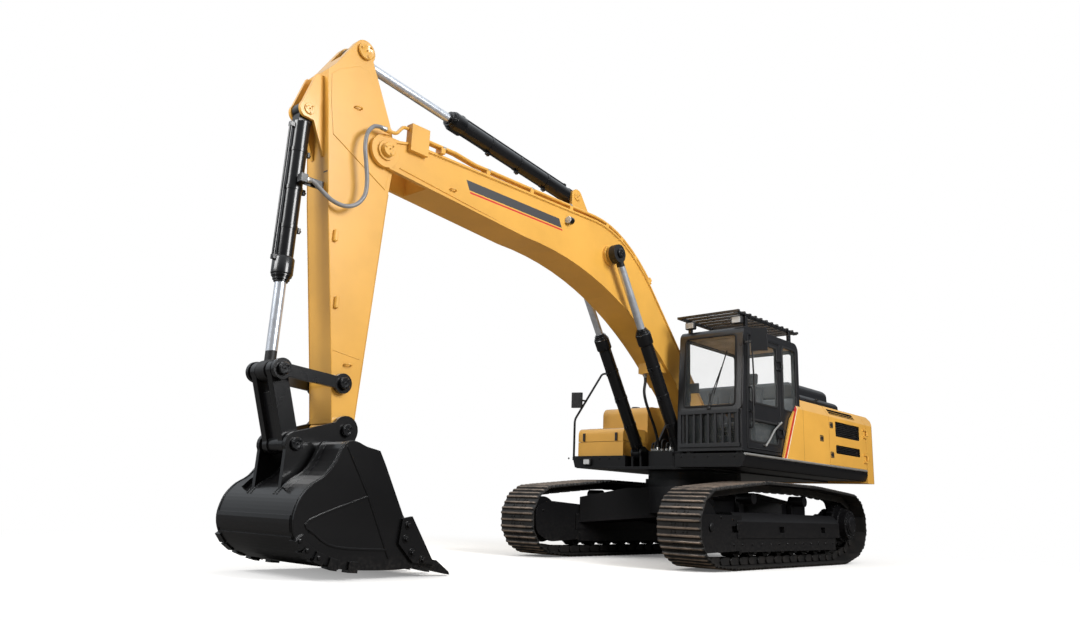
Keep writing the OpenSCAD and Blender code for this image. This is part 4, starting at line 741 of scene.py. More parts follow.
# %% Undercarriage fittings
drive = np.array([-2.015, 0.0, 0.565])
parts = [bolts(ring(drive + [0, track_y + 0.119, 0], (0, 1, 0), 0.233, 18), (0, 1, 0), 0.011),
         bolts(ring(drive + [0, track_y + 0.224, 0], (0, 1, 0), 0.182, 12), (0, 1, 0), 0.012),
         lathe([(0.118, 0.0), (0.118, 0.010), (0.104, 0.018), (near_axis, 0.018)],
               drive + [0, track_y + 0.239, 0], (0, 1, 0), 40),
         bolts(ring(drive + [0, track_y + 0.256, 0], (0, 1, 0), 0.086, 3, 0.5), (0, 1, 0), 0.010)]
guard = [[1.48, 0.60], [1.48, 0.30], [1.78, 0.62], [2.20, 0.29], [2.29, 0.56]]
parts.append(bolts([[x, track_y + 0.175, z] for x, z in guard], (0, 1, 0), 0.013))
beam = np.linspace(-1.45, 1.25, 12)
parts.append(bolts([[x, track_y + 0.171, 0.30] for x in beam], (0, 1, 0), 0.012))
parts.append(lathe([(0.052, 0.0), (0.052, 0.016), (0.040, 0.024), (near_axis, 0.024)],
                   [2.015, track_y + 0.1755, 0.505], (0, 1, 0), 32))
parts.append(block([1.34, track_y + 0.183, 0.47], [1.42, track_y + 0.196, 0.55], 0.006))
piece("undercarriage_bolts", pair(joined(parts)), frame_black, "undercarriage")
guard = rounded([[1.20, 0.24], [1.95, 0.20], [2.24, 0.33], [2.26, 0.66], [2.02, 0.76], [1.20, 0.72]], 0.10)
fixed_at = [[1.3, 1.1275, 0.32], [1.3, 1.1275, 0.62], [2.1, 1.1275, 0.62]]
inner = [plate(guard, 1.128, 1.144), bolts(fixed_at, (0, -1, 0), 0.013)]
piece("inner_guards", pair(joined(inner)), frame_black, "undercarriage")
print("undercarriage bolted")

# %% [markdown]
# ## Pin covers of the front
# Each big pin of the front ends in a turned cap held by three bolts, with a grease nipple. The list gives
# the body that holds each pin, its place, the outer end of its boss and its radius. High up they are yellow
# like the boom, and lower down black.

# %% Pin covers
PINS = [("boom", 6.24, 4.15, 0.293, 0.060), ("arm", 6.56, 5.14, 0.204, 0.076),
        ("arm", 6.43, 1.29, 0.270, 0.046), ("arm", 6.50, 1.72, 0.266, 0.046),
        ("rocker", 7.14, 1.77, 0.264, 0.046), ("bucket", 6.94, 1.13, 0.260, 0.046),
        ("upper", 0.13, 2.03, 0.355, 0.057), ("upper", 0.92, 1.48, 0.4415, 0.047),
        ("boom", 3.03, 4.67, 0.106, 0.047), ("arm", 7.08, 4.32, 0.106, 0.047)]


def pin_cover(x, z, y, r):
    """A turned cap with a rounded rim and a dished face, three bolts and a grease nipple, on both sides."""
    dished = [(r * 1.22, -0.006), (r * 1.22, 0.006), (r * 1.12, 0.012), (r * 0.62, 0.012), (r * 0.56, 0.009),
              (near_axis, 0.009)]
    cap = lathe(dished, (x, y, z), (0, 1, 0), 32)
    stem = [(0.007, 0.0), (0.007, 0.010), (0.0045, 0.013), (0.0045, 0.020)]
    nipple = lathe(stem, (x, y + 0.008, z), (0, 1, 0), 8)
    held = bolts(ring((x, y + 0.0115, z), (0, 1, 0), r * 0.88, 3, 0.3), (0, 1, 0), r * 0.16)
    return pair(joined([cap, nipple, held]))


yellow_above = 4.0
for body in sorted({p[0] for p in PINS}):
    for high, paint in ((True, machine_yellow), (False, cylinder_black)):
        covers = [pin_cover(*p[1:]) for p in PINS if p[0] == body and (p[2] > yellow_above) == high]
        if covers:
            piece(body + ("_upper" if high else "_lower") + "_pin_covers", joined(covers), paint, body)
for body, side in (("left_boom_rod", 1.0), ("right_boom_rod", -1.0)):
    cap = lathe([(0.062, 0.0), (0.062, 0.012), (0.052, 0.020), (near_axis, 0.020)],
                (2.47, side * 0.4165, 3.98), (0, side, 0), 32)
    held = bolts(ring((2.47, side * 0.4365, 3.98), (0, side, 0), 0.030, 3), (0, side, 0), 0.008)
    piece(body + "_cap", joined([cap, held]), cylinder_black, body)
print("pins covered", len(PINS) + 1)

# %% [markdown]
# ## Weld beads
# The boom and arm are boxes of plate, welded along their corners. A bead is a thin tube whose radius swells a
# little every few millimetres, as each pass of the welding gun leaves a ripple.

# %% Welds


def bezier(a, b, c, n):
    """Points of a quadratic curve with control point b."""
    t = np.linspace(0.0, 1.0, n + 1)[:, None]
    a, b, c = (np.array(p, float) for p in (a, b, c))
    return (1 - t) ** 2 * a + 2 * t * (1 - t) * b + t ** 2 * c


def bead(line, y, radius=0.007, pitch=0.022):
    """A rippled tube along a line of (x, z) points at one y: its radius swells a seventh at each pitch."""
    line = np.asarray(line, float)
    run = np.concatenate([[0.0], np.cumsum(np.linalg.norm(np.diff(line, axis=0), axis=1))])
    s = np.linspace(0.0, run[-1], max(int(run[-1] / pitch * 3), 4))
    path = np.stack([np.interp(s, run, line[:, 0]), np.full(len(s), y), np.interp(s, run, line[:, 1])], -1)
    return tube(path, radius * (1.0 + 0.14 * np.sin(2.0 * np.pi * s / pitch)), 6)


foot, nose, tip = np.array([0.13, 2.03]), np.array([6.24, 4.15]), np.array([6.43, 1.29])
back_bend = bezier(foot + [1.37, 1.74], foot + [1.99, 2.36], foot + [2.64, 2.365], 8)
over = np.concatenate([[foot + [-0.12, 0.13]], back_bend, [nose + [-0.33, 0.205]]])
belly = bezier(foot + [0.70, 0.40], foot + [2.17, 1.76], foot + [4.0, 1.765], 14)
under = np.concatenate([belly, [nose + [-0.2, -0.15]]])
boom_welds = [bead(over - [0.0, 0.029], 0.219), bead(under + [0.0, 0.029], 0.219)]
piece("boom_welds", pair(joined(boom_welds)), boom_yellow, "boom")
front = np.array([tip + [0.122, 0.06], [6.60, 1.78], nose + [0.58, -0.70], nose + [0.69, 0.30]])
rear = np.array([nose + [-0.11, -0.43], tip + [-0.122, 0.09]])
doubler = np.array([nose + [-0.065, -0.395], nose + [0.60, -0.02]])
seam = np.array([[6.614, 2.026], [6.303, 1.981]])
arm_lines = ((front, 0.178), (rear, 0.178), (doubler, 0.181), (seam, 0.178))
arm_welds = [bead(line, y, 0.006) for line, y in arm_lines]
piece("arm_welds", pair(joined(arm_welds)), machine_yellow, "arm")
wrap = tip + np.array([[-0.110, -0.185], [0.040, -0.158], [0.160, -0.120], [0.268, -0.150], [0.341, -0.298],
                       [0.442, -0.432], [0.561, -0.507], [0.647, -0.599], [0.690, -0.693], [0.710, -0.796],
                       [0.693, -0.899], [0.642, -0.990], [0.565, -1.066], [0.448, -1.126], [0.213, -1.196]])
shell = through(np.insert(wrap, 1, 0.0, axis=1), 3)[:, [0, 2]]
cheek = [[6.68, 1.122], [6.423, 0.713], [6.147, 0.171]]
heel = [[6.99, 0.40], [6.915, 0.37]]
bucket_welds = [bead(shell, 0.607, 0.008), bead(shell[3:22], 0.190, 0.009), bead(shell[3:22], 0.244, 0.009),
                bead(cheek, 0.640, 0.007), bead(heel, 0.640, 0.007)]
piece("bucket_welds", pair(joined(bucket_welds)), bucket_black, "bucket")
print("welds laid")

# %% [markdown]
# ## Bucket wear parts
# The side cutters and heel shrouds are bolted or pinned on, and each tooth is held by a cross pin. These are
# the pieces that are changed when worn, so their fixings stay in sight.

# %% Bucket fixings
lip = tip + [-0.70, -1.19]
cut = lip + np.array([[0.04, 0.055], [0.17, 0.12], [0.25, 0.24], [0.235, 0.36]])
parts = [bolts([[x, 0.670, z] for x, z in cut], (0, 1, 0), 0.025)]
for place in (33, 36, 39):
    spot = (shell[place][0], 0.6635, shell[place][1] + 0.026)
    parts.append(lathe([(0.019, 0.0), (0.019, 0.010), (0.012, 0.012)], spot, (0, 1, 0), 16))
parts = [pair(joined(parts))]
lip_wide, tooth_wide = 1.28, 0.13
x, z = lip + [-0.13, 0.002]
for k in range(5):
    y = (k - 2) * (lip_wide - tooth_wide) / 4.0
    parts.append(lathe([(0.014, -0.068), (0.014, 0.068)], (x, y, z), (0, 1, 0), 12))
piece("bucket_fixings", joined(parts), bucket_black, "bucket")
print("bucket fixings made")

# %% [markdown]
# ## Cylinder fittings
# Each cylinder has a thick bolted head with a gland where the rod comes out, and bands that hold its oil
# pipe. They are turned shapes placed along the cylinder's own axis.

# %% Cylinder fittings
RAMS = [("left_boom_barrel", (0.92, 0.355, 1.48), (2.47, 0.355, 3.98), 0.62, 0.088),
        ("right_boom_barrel", (0.92, -0.355, 1.48), (2.47, -0.355, 3.98), 0.62, 0.088),
        ("arm_barrel", (3.03, 0.0, 4.67), (6.56, 0.0, 5.14), 0.62, 0.096),
        ("bucket_barrel", (7.08, 0.0, 4.32), (7.14, 0.0, 1.77), 0.66, 0.084)]
for body, low, high, share, radius in RAMS:
    low, high = np.array(low), np.array(high)
    way = (high - low) / np.linalg.norm(high - low)
    reach = np.linalg.norm(high - low) * share
    up = np.cross(way, [0.0, 1.0, 0.0]) * -1.0
    neck = [(radius - 0.006, 0.0), (radius - 0.006, 0.012), (0.066, 0.014), (0.066, 0.030), (0.056, 0.034),
            (0.0525, 0.034)]
    gland = lathe(neck, low + way * (reach + 0.011), way, 48)
    thick = radius * 1.20
    head = lathe([(radius * 0.98, -0.210), (thick - 0.006, -0.200), (thick, -0.190), (thick, -0.045),
                  (thick - 0.008, -0.034), (radius, -0.030)], low + way * (reach + 0.011), way, 48)
    caps = bolts(ring(low + way * (reach - 0.020), way, thick - 0.019, 12), way, 0.0085)
    bands = []
    for s in (0.25, 0.48, 0.71):
        spot = low + way * reach * s
        strap = [(radius - 0.002, -0.02), (radius + 0.005, -0.02),
                 (radius + 0.005, 0.02), (radius - 0.002, 0.02)]
        bands.append(lathe(strap, spot, way, 40))
        bands.append(lathe([(0.016, -0.024), (0.022, -0.024), (0.022, 0.024), (0.016, 0.024)],
                           spot + up * (radius + 0.026), way, 20))
        lug = np.array([spot + up * (radius + 0.002), spot + up * (radius + 0.055)])
        bands.append(tube(np.linspace(lug[0], lug[1], 4), 0.009, 8))
    piece(body + "_fittings", joined([gland, head, caps] + bands), cylinder_black, body)
print("cylinders fitted", len(RAMS))

# %% [markdown]
# ## Free hoses
# A thick oil hose leaves the boom beside the nose, hangs in an open loop and goes to a port on the arm. Two
# more join the valve block to the boom's belly. Each is a tube along a smooth curve through the same points
# as its CAD solid. A hose crosses a joint; its end fittings ride on the two bodies that it joins.

# %% Hoses


def free_hose(name, route, material, node, start_body, end_body):
    """A round hose along a smooth route, with a crimped fitting on each end that rides on its own body."""
    path = through(route, 8)
    length = float(np.linalg.norm(np.diff(path, axis=0), axis=1).sum())
    hose = piece(name, tube(path, 0.021, 16), material, None, stands_for=[node])
    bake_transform(hose)
    crimp = [(0.0225, 0.0), (0.0255, 0.004), (0.0255, 0.050), (0.0225, 0.056)]
    ends = ((path[0], start_body, path[1] - path[0]), (path[-1], end_body, path[-2] - path[-1]))
    for end, body, along in ends:
        collar = joined([lathe(crimp, end, along, 24), lathe([(0.030, 0.0), (0.030, 0.016)], end, along, 6)])
        piece(name + "_" + body + "_fitting", collar, turned_steel, body)
    return length


pin3 = np.array([6.24, 0.0, 4.15])
port = pin3 + [0.82, 0.150, -0.56]
loop = np.array([[0.060, 0.285, 0.195], [0.105, 0.285, 0.195], [0.150, 0.285, 0.195],
                 [0.228, 0.300, 0.158], [0.296, 0.312, 0.060], [0.312, 0.316, -0.090],
                 [0.282, 0.318, -0.270], [0.256, 0.318, -0.440], [0.270, 0.318, -0.590],
                 [0.350, 0.308, -0.705], [0.465, 0.282, -0.748], [0.580, 0.240, -0.715],
                 [0.668, 0.186, -0.630]])
route = np.concatenate([pin3 + loop, port - np.array([[0.08, 0.0, 0.0], [0.04, 0.0, 0.0], [0.0, 0.0, 0.0]])])
lengths = [free_hose("nose_hose", route, hose_grey, "arm_hose", "boom", "arm")]
for name, y in (("left_boom_hose", 0.11), ("right_boom_hose", -0.11)):
    low, high = np.array([0.80, y, 1.51]), np.array([1.13, y, 2.59])
    rise = np.array([[0.0, 0.0, 0.0], [0.0, 0.0, 0.06], [0.0, 0.0, 0.12],
                     [0.07, 0.0, 0.30], [0.20, 0.0, 0.50], [0.31, 0.0, 0.68]])
    fall = np.array([[0.025, 0.0, -0.255], [0.0, 0.0, -0.12], [0.0, 0.0, -0.06], [0.0, 0.0, 0.0]])
    route = np.concatenate([low + rise, high + fall])
    lengths.append(free_hose(name + "_tube", route, hose_black, name, "upper", "boom"))
print("hose lengths", np.round(lengths, 3))

# %% [markdown]
# ## The operator's seat
# A seat cushion is foam under sewn cloth: crowned in the middle, pulled in at the corners and along its
# piped seam. A pad is one closed surface, a box whose section swells and whose corners are drawn in.

# %% Seat pads


def pad(centre, half, lean, crown):
    """A crowned pad: a rounded square swept in two angles, with powers that keep its sides nearly flat."""
    u = np.linspace(-np.pi / 2, np.pi / 2, 25)[:, None]
    v = np.linspace(0.0, 2.0 * np.pi, 64, endpoint=False)[None, :]

    def power(a, e):
        return np.sign(a) * np.abs(a) ** e

    x = power(np.cos(u), 0.5) * power(np.cos(v), 0.28) * half[0]
    y = power(np.cos(u), 0.5) * power(np.sin(v), 0.28) * half[1]
    z = power(np.sin(u), 0.7) * half[2] + np.zeros_like(v)
    dome = np.clip(1.0 - (x / half[0]) ** 2, 0.0, 1.0) * np.clip(1.0 - (y / half[1]) ** 2, 0.0, 1.0)
    groove = np.exp(-((np.abs(y) - 0.55 * half[1]) / 0.012) ** 2) * 0.010
    z = z + np.where(z > 0.0, crown * dome - groove, 0.0)
    c, s = np.cos(lean), np.sin(lean)
    grid = np.stack([c * x + s * z, y, -s * x + c * z], -1)
    return skin(grid[1:-1] + np.asarray(centre, float), wrap_cols=True)


seat_y = 0.975
seat_form = pad((0.345, seat_y, 1.865), (0.235, 0.225, 0.052), 0.0, 0.012)
back_form = pad((0.108, seat_y, 2.180), (0.290, 0.215, 0.042), 1.41, 0.010)
head_form = pad((0.055, seat_y, 2.575), (0.085, 0.125, 0.030), 1.45, 0.006)
cushion = piece("seat_cushion", seat_form, cloth_dark, "upper", stands_for=["seat"])
back = piece("seat_back", back_form, cloth_dark, "upper")
rest = piece("seat_headrest", head_form, cloth_dark, "upper")
base = [block([0.15, seat_y - 0.19, 1.52], [0.51, seat_y + 0.19, 1.58], 0.01),
        block([0.12, seat_y - 0.21, 1.775], [0.56, seat_y + 0.21, 1.815], 0.012)]
for k in range(7):
    swell = 0.165 + 0.012 * (k % 2)
    low = 1.58 + 0.028 * k
    base.append(block([0.33 - swell, seat_y - swell, low],
                      [0.33 + swell, seat_y + swell, low + 0.026], 0.010))
for side in (-1.0, 1.0):
    base.append(tube([[0.062, seat_y + side * 0.06, 2.44], [0.058, seat_y + side * 0.06, 2.51]], 0.008, 8))
piece("seat_base", joined(base), black_plastic, "upper")
print("seat padded")

# %% [markdown]
# ## Inside the cab
# Through the panes one sees a pale headliner, a screen, the pedals' mat and a trimmed rear wall. A cab is
# lined with moulded panels, so plain bevelled blocks do for those, and the screen gets a dark glass face.

# %% Cab inside
lining = [block([-0.42, 0.53, 3.040], [1.02, 1.40, 3.075], 0.012),
          block([-0.30, 0.60, 3.025], [0.85, 1.33, 3.042], 0.008)]
piece("headliner", joined(lining), headliner_tan, "upper")
trim = [block([-0.478, 0.53, 1.55], [-0.455, 1.40, 2.34], 0.01),
        block([-0.46, 0.56, 1.52], [0.02, 0.68, 1.98], 0.02),
        block([-0.46, 1.26, 1.52], [-0.02, 1.38, 1.98], 0.02),
        block([0.55, 0.56, 1.518], [1.12, 1.38, 1.528], 0.004)]
screen = [block([1.00, 0.545, 2.16], [1.035, 0.575, 2.30], 0.006),
          block([0.985, 0.53, 2.28], [1.015, 0.70, 2.42], 0.008)]
piece("cab_trim", joined(trim), trim_pale, "upper")
piece("cab_screen", joined(screen), console_plastic, "upper")
face = block([0.9835, 0.542, 2.292], [0.9865, 0.688, 2.408], 0.001)
piece("screen_face", face, lamp_lens, "upper")
print("cab trimmed")

# %% [markdown]
# ## Window seals, wiper and handles
# Each pane sits in a black rubber profile. The seal is a small eight-sided section carried round the window's
# outline; on the leaning front the outline is laid on the slope.

# %% Cab outside


def on_front(outline):
    """Outline of (y, z) laid on the cab's front, which leans back above the sill."""
    y, z = outline[:, 0], outline[:, 1]
    front_x, lean_back, sill_z, lean_tall = 1.191, 0.072, 2.0, 1.041
    return np.stack([front_x - lean_back * np.maximum(z - sill_z, 0.0) / lean_tall, y, z], -1)


def on_wall(outline, y):
    """Outline of (x, z) laid on a side wall."""
    return np.stack([outline[:, 0], np.full(len(outline), y), outline[:, 1]], -1)


def frame_of(x0, z0, x1, z1, r):
    """A rounded rectangle."""
    return rounded([[x0, z0], [x1, z0], [x1, z1], [x0, z1]], r)


seal_w, seal_t = 0.016, 0.006
right_wall, left_wall = 0.4745, 1.4555
seals = [hoop(on_front(frame_of(0.575, 2.065, 1.355, 3.025, 0.06)), (1, 0, 0.07), seal_w, seal_t),
         hoop(on_front(frame_of(0.575, 1.565, 1.355, 1.965, 0.04)), (1, 0, 0), seal_w, seal_t),
         hoop(on_wall(frame_of(-0.42, 2.06, 0.93, 3.03, 0.06), right_wall), (0, 1, 0), seal_w, seal_t),
         hoop(on_wall(frame_of(-0.435, 2.115, -0.015, 3.025, 0.06), left_wall), (0, 1, 0), seal_w, seal_t)]
rear_line = np.insert(frame_of(0.575, 2.365, 1.355, 3.025, 0.06), 0, -0.5305, axis=1)
seals.append(hoop(rear_line, (1, 0, 0), seal_w, seal_t))
piece("cab_seals", joined(seals), seal_rubber, "upper")
door_top = rounded([[0.165, 2.125], [0.985, 2.125], [0.955, 2.965], [0.165, 2.965]], 0.05)
door_low = frame_of(0.175, 1.61, 0.975, 1.895, 0.05)
gasket = rounded([[0.095, 1.52], [1.055, 1.52], [1.055, 2.06], [1.012, 3.025], [0.095, 3.025]], 0.02)
door_lines = ((door_top, seal_w), (door_low, seal_w), (gasket, 0.006))
door_seals = [hoop(on_wall(line, left_wall), (0, 1, 0), wide, seal_t) for line, wide in door_lines]
piece("door_seals", joined(door_seals), seal_rubber, "cab_door")
pull = [[0.985, 1.458, 1.78], [0.985, 1.500, 1.80], [0.985, 1.512, 1.90],
        [0.985, 1.512, 2.20], [0.985, 1.500, 2.30], [0.985, 1.458, 2.32]]
long_pull = [[0.944, 1.456, 3.02], [0.944, 1.482, 3.01], [0.930, 1.486, 2.80],
             [0.886, 1.486, 2.20], [0.878, 1.482, 2.10], [0.876, 1.456, 2.09]]
key_hole = lathe([(0.018, 0.0), (0.018, 0.008), (0.010, 0.011)], (0.905, 1.4765, 2.005), (0, 1, 0), 20)
handle = [tube(through(pull, 6), 0.012, 12), key_hole, tube(through(long_pull, 6), 0.011, 12)]
piece("door_handles", joined(handle), black_plastic, "cab_door")
wiper_arm = [[1.203, 0.965, 2.040], [1.200, 1.00, 2.18], [1.190, 1.09, 2.40], [1.178, 1.16, 2.58]]
wiper_blade = [[1.196, 1.05, 2.22], [1.182, 1.14, 2.50], [1.166, 1.24, 2.80]]
wiper = [lathe([(0.030, 0.0), (0.030, 0.014), (0.018, 0.026)], (1.186, 0.965, 2.040), (1, 0, 0), 24),
         tube(through(wiper_arm, 6), 0.007, 8), tube(through(wiper_blade, 6), 0.008, 6)]
piece("wiper", joined(wiper), black_plastic, "upper")
grab = [[1.185, 1.440, 2.02], [1.215, 1.475, 2.05], [1.215, 1.480, 2.20],
        [1.180, 1.480, 2.75], [1.165, 1.475, 2.84], [1.140, 1.440, 2.86]]
lamps, lenses = [], []
for y in (0.60, 1.33):
    lamps.append(block([1.00, y - 0.075, 3.180], [1.075, y + 0.075, 3.285], 0.012))
    lenses.append(block([1.074, y - 0.062, 3.192], [1.080, y + 0.062, 3.273], 0.005))
piece("cab_handles", tube(through(grab, 6), 0.013, 12), black_plastic, "upper")
piece("roof_lamps", joined(lamps), black_plastic, "upper")
piece("roof_lenses", joined(lenses), lamp_lens, "upper")
print("cab dressed")

# %% [markdown]
# ## Mirrors and lamp lenses
# A mirror is a glass plate set in its housing, and each work lamp has a clear round lens with a rim.

# %% Mirrors and lenses


def turned_block(low, high, centre, degrees):
    """A bevelled block turned about the upright through its centre."""
    points, faces = block(low, high, 0.004)
    c, s = np.cos(np.radians(degrees)), np.sin(np.radians(degrees))
    return points @ np.array([[c, s, 0.0], [-s, c, 0.0], [0.0, 0.0, 1.0]]) + np.asarray(centre, float), faces


glasses = [turned_block([-0.032, -0.092, -0.135], [-0.0275, 0.092, 0.135], (1.161, 1.709, 2.905), 25.0),
           turned_block([-0.026, -0.072, -0.105], [-0.0215, 0.072, 0.105], (0.895, -1.570, 2.320), 20.0)]
piece("mirror_glass", joined(glasses), mirror_glass, "upper")
round_lens = lathe([(0.046, 0.0), (0.046, 0.006), (0.040, 0.010), (0.039, 0.004), (near_axis, 0.012)],
                   (3.3795, 0.265, 4.220), (1, 0, 0), 32)
piece("boom_lenses", pair(round_lens), lamp_lens, "boom")
print("glass set")

# %% [markdown]
# ## Body fittings
# Behind the slats a woven wire screen keeps chaff out of the coolers. The doors have flush latches, the tanks
# have filler caps, the walking surfaces have punched plates, and the counterweight carries two red lamps.

# %% Body fittings


def screen_wires(x0, z0, x1, z1, y, gap=0.02):
    """Crossed wires over a rectangle, each a thin four-sided bar."""
    xs, zs = np.arange(x0, x1 + 1e-6, gap), np.arange(z0, z1 + 1e-6, gap)
    upright = tube([[0.0, 0.0, z0], [0.0, 0.0, z1]], 0.0025, 4)
    level = tube([[x0, 0.0, 0.0], [x1, 0.0, 0.0]], 0.0025, 4)
    same = np.eye(3)[None]
    beside = np.stack([xs, np.full(len(xs), y), 0 * xs], -1)
    above = np.stack([0 * zs, np.full(len(zs), y - 0.004), zs], -1)
    return joined([copies(upright, np.repeat(same, len(xs), 0), beside),
                   copies(level, np.repeat(same, len(zs), 0), above)])


def shade_plate(x0, z0, x1, z1, y):
    """A thin dark plate behind a screen: painted shade for the dim space behind the opening."""
    return block([x0, y - 0.006, z0], [x1, y, z1], 0.002)


# The left door's screens, with dark plates behind them as painted shade
left_screens = [screen_wires(-2.61, 1.90, -1.69, 2.11, 1.460), screen_wires(-2.61, 1.64, -1.69, 1.75, 1.460),
                shade_plate(-2.64, 1.86, -1.66, 2.15, 1.448), shade_plate(-2.64, 1.60, -1.66, 1.79, 1.448),
                shade_plate(-2.56, 2.20, -1.50, 2.30, 1.345)]
piece("left_screens", joined(left_screens), black_plastic, "cooler_door")
# The right door's screen has the same dark plate behind it, as painted shade
right_screens = [screen_wires(-2.61, 1.90, -1.69, 2.11, -1.460),
                 block([-2.64, -1.448, 1.86], [-1.66, -1.442, 2.15], 0.002)]
piece("right_screens", joined(right_screens), black_plastic, "pump_door")


def latch(x, z, side):
    """A flush paddle latch: a rimmed plate with a paddle and a key barrel."""
    edge = on_wall(frame_of(x - 0.055, z - 0.040, x + 0.055, z + 0.040, 0.012), side * 1.491)
    rim = hoop(edge, (0, 1, 0), 0.006, 0.004)
    y0, y1 = sorted((side * 1.489, side * 1.4935))
    paddle = block([x - 0.045, y0, z - 0.030], [x + 0.030, y1, z + 0.030], 0.002)
    key = [(0.010, 0.0), (0.010, 0.006), (0.006, 0.008)]
    barrel = lathe(key, (x + 0.040, side * 1.490, z), (0, side, 0), 16)
    return joined([rim, paddle, barrel])


for door, side in (("cooler_door", 1.0), ("pump_door", -1.0)):
    both = joined([latch(-1.53, 1.60, side), latch(-1.53, 2.05, side)])
    piece(door + "_latches", both, black_plastic, door)
piece("panel_latch", latch(-1.169, 1.819, 1.0), black_plastic, "upper")


def filler_cap(spot, r, tall):
    """A turned cap on a wider neck, with its top edge cut off."""
    profile = [(r, 0.0), (r, 0.012), (r - 0.015, 0.016), (r - 0.015, tall - 0.008), (r - 0.025, tall),
               (near_axis, tall)]
    return lathe(profile, spot, (0, 0, 1), 36)


caps = [filler_cap((-0.10, -1.15, 2.239), 0.085, 0.058), filler_cap((-0.95, -1.10, 2.339), 0.075, 0.054)]
piece("filler_caps", joined(caps), black_plastic, "upper")


def tread(x0, y0, x1, y1, z):
    """A thin plate with rows of raised round studs, for boots to grip."""
    along, over_it = np.arange(x0 + 0.04, x1 - 0.03, 0.05), np.arange(y0 + 0.04, y1 - 0.03, 0.05)
    xs, ys = np.meshgrid(along, over_it, indexing="ij")
    spots = np.stack([xs.ravel(), ys.ravel(), np.full(xs.size, z + 0.004)], -1)
    stud = lathe([(0.014, -0.001), (0.012, 0.005), (0.006, 0.006)], (0, 0, 0), (0, 0, 1), 8)
    studs = copies(stud, np.repeat(np.eye(3)[None], len(spots), 0), spots)
    return joined([block([x0, y0, z], [x1, y1, z + 0.004], 0.0015), studs])


piece("box_tread", tread(0.46, -1.40, 0.84, -0.70, 1.8605), black_plastic, "box_lid")
tank_tops = [tread(-0.42, -1.42, 0.15, -0.72, 2.2405), tread(-1.30, -1.35, -0.62, -0.55, 2.3405)]
piece("tank_tread", joined(tank_tops), black_plastic, "upper")
rear_lamp = block([-3.332, 1.05, 1.78], [-3.325, 1.25, 1.86], 0.002)
piece("rear_lamps", pair(rear_lamp), red_lens, "upper")
bolt_row, bolt_size = 1.40, 0.010
skirt = [[x, 1.4905, bolt_row] for x in np.arange(-2.7, 1.15, 0.35)]
left_front = [[1.2105, y, bolt_row] for y in np.arange(0.55, 1.40, 0.20)]
right_front = [[1.0405, y, bolt_row] for y in np.arange(-1.35, -0.60, 0.18)]
parts = [pair(bolts(skirt, (0, 1, 0), bolt_size))]
parts += [bolts(row, (1, 0, 0), bolt_size) for row in (left_front, right_front)]
piece("deck_bolts", joined(parts), frame_black, "upper")
# A bright steel rod on the skirt's top edge: a painted highlight along the rounded edge of the black skirt
highlight_line = [[1.19, 1.487, 1.428], [-0.8, 1.487, 1.428], [-2.87, 1.487, 1.428]]
piece("deck_edge_highlight", tube(highlight_line, 0.017, 12), turned_steel, "upper")
piece("deck_lamp", block([1.041, -1.27, 1.30], [1.085, -1.13, 1.40], 0.012), black_plastic, "upper")
piece("deck_lens", block([1.084, -1.255, 1.315], [1.090, -1.145, 1.385], 0.006), lamp_lens, "upper")
elbows, nuts = [], []
for k, y in enumerate((-0.21, -0.16, -0.04, 0.04, 0.16, 0.21)):
    rise = 0.10 + 0.022 * (k % 3)
    bend = [[0.80, y, 1.51], [0.80, y, 1.53 + rise * 0.5], [0.775, y, 1.52 + rise], [0.70, y, 1.525 + rise],
            [0.62, y, 1.50 + rise * 0.6], [0.60, y, 1.442]]
    elbows.append(tube(through(bend, 6), 0.015, 10))
    nuts.append(lathe([(0.024, 0.0), (0.024, 0.030), (0.018, 0.036)], (0.80, y, 1.5105), (0, 0, 1), 6))
    nuts.append(lathe([(0.024, 0.0), (0.024, 0.024), (0.018, 0.030)], (0.60, y, 1.4405), (0, 0, 1), 6))
piece("deck_pipes", joined(elbows), black_plastic, "upper")
piece("deck_pipe_nuts", joined(nuts), turned_steel, "upper")
louvres = []
for k in range(6):
    louvres.append(block([-2.60, 1.048, 2.365 + 0.022 * k], [-1.62, 1.056, 2.375 + 0.022 * k], 0.002))
louvres.append(block([-2.10, 1.04, 2.515], [-2.00, 1.062, 2.535], 0.004))
piece("hood_louvres", pair(joined(louvres)), black_plastic, "hood")
print("body fitted")

# %% [markdown]
# ## Boom fittings
# Clamps hold the steel pipes to their stands, and small lifting lugs are welded to boom and arm.

# %% Boom and arm fittings
clamps = []
for spot, aside in ((4.0, 0.0), (3.27, 0.0), (4.75, 0.0), (5.50, 0.062)):
    z = float(np.interp(spot, over[:, 0], over[:, 1]))
    band = [(0.0185, -0.02), (0.024, -0.02), (0.024, 0.02), (0.0185, 0.02)]
    for y in (0.146 + aside, 0.194 + aside):
        clamps.append(lathe(band, (spot, y, z + 0.069), (1, 0, 0), 20))
    clamps.append(bolts([[spot, 0.170 + aside, z + 0.066]], (0, 0, 1), 0.009))
piece("pipe_clamps", pair(joined(clamps)), turned_steel, "boom")


def lifting_lug(x, z, y):
    """A small round bar bent to a hook and welded on at both feet."""
    arch = [[x - 0.035, y, z], [x - 0.035, y + 0.030, z], [x, y + 0.045, z + 0.004],
            [x + 0.035, y + 0.030, z], [x + 0.035, y, z]]
    return tube(through(arch, 5), 0.009, 8)


boom_hooks = [lifting_lug(5.3, 4.02, 0.214), lifting_lug(2.05, 3.62, 0.214)]
piece("boom_lugs", pair(joined(boom_hooks)), boom_yellow, "boom")
clips = []
for x, z in ((6.72, 3.12), (6.64, 2.48)):
    clips.append(block([x - 0.032, 0.172, z - 0.060], [x + 0.012, 0.212, z + 0.060], 0.010))
piece("arm_clips", pair(joined(clips)), machine_yellow, "arm")
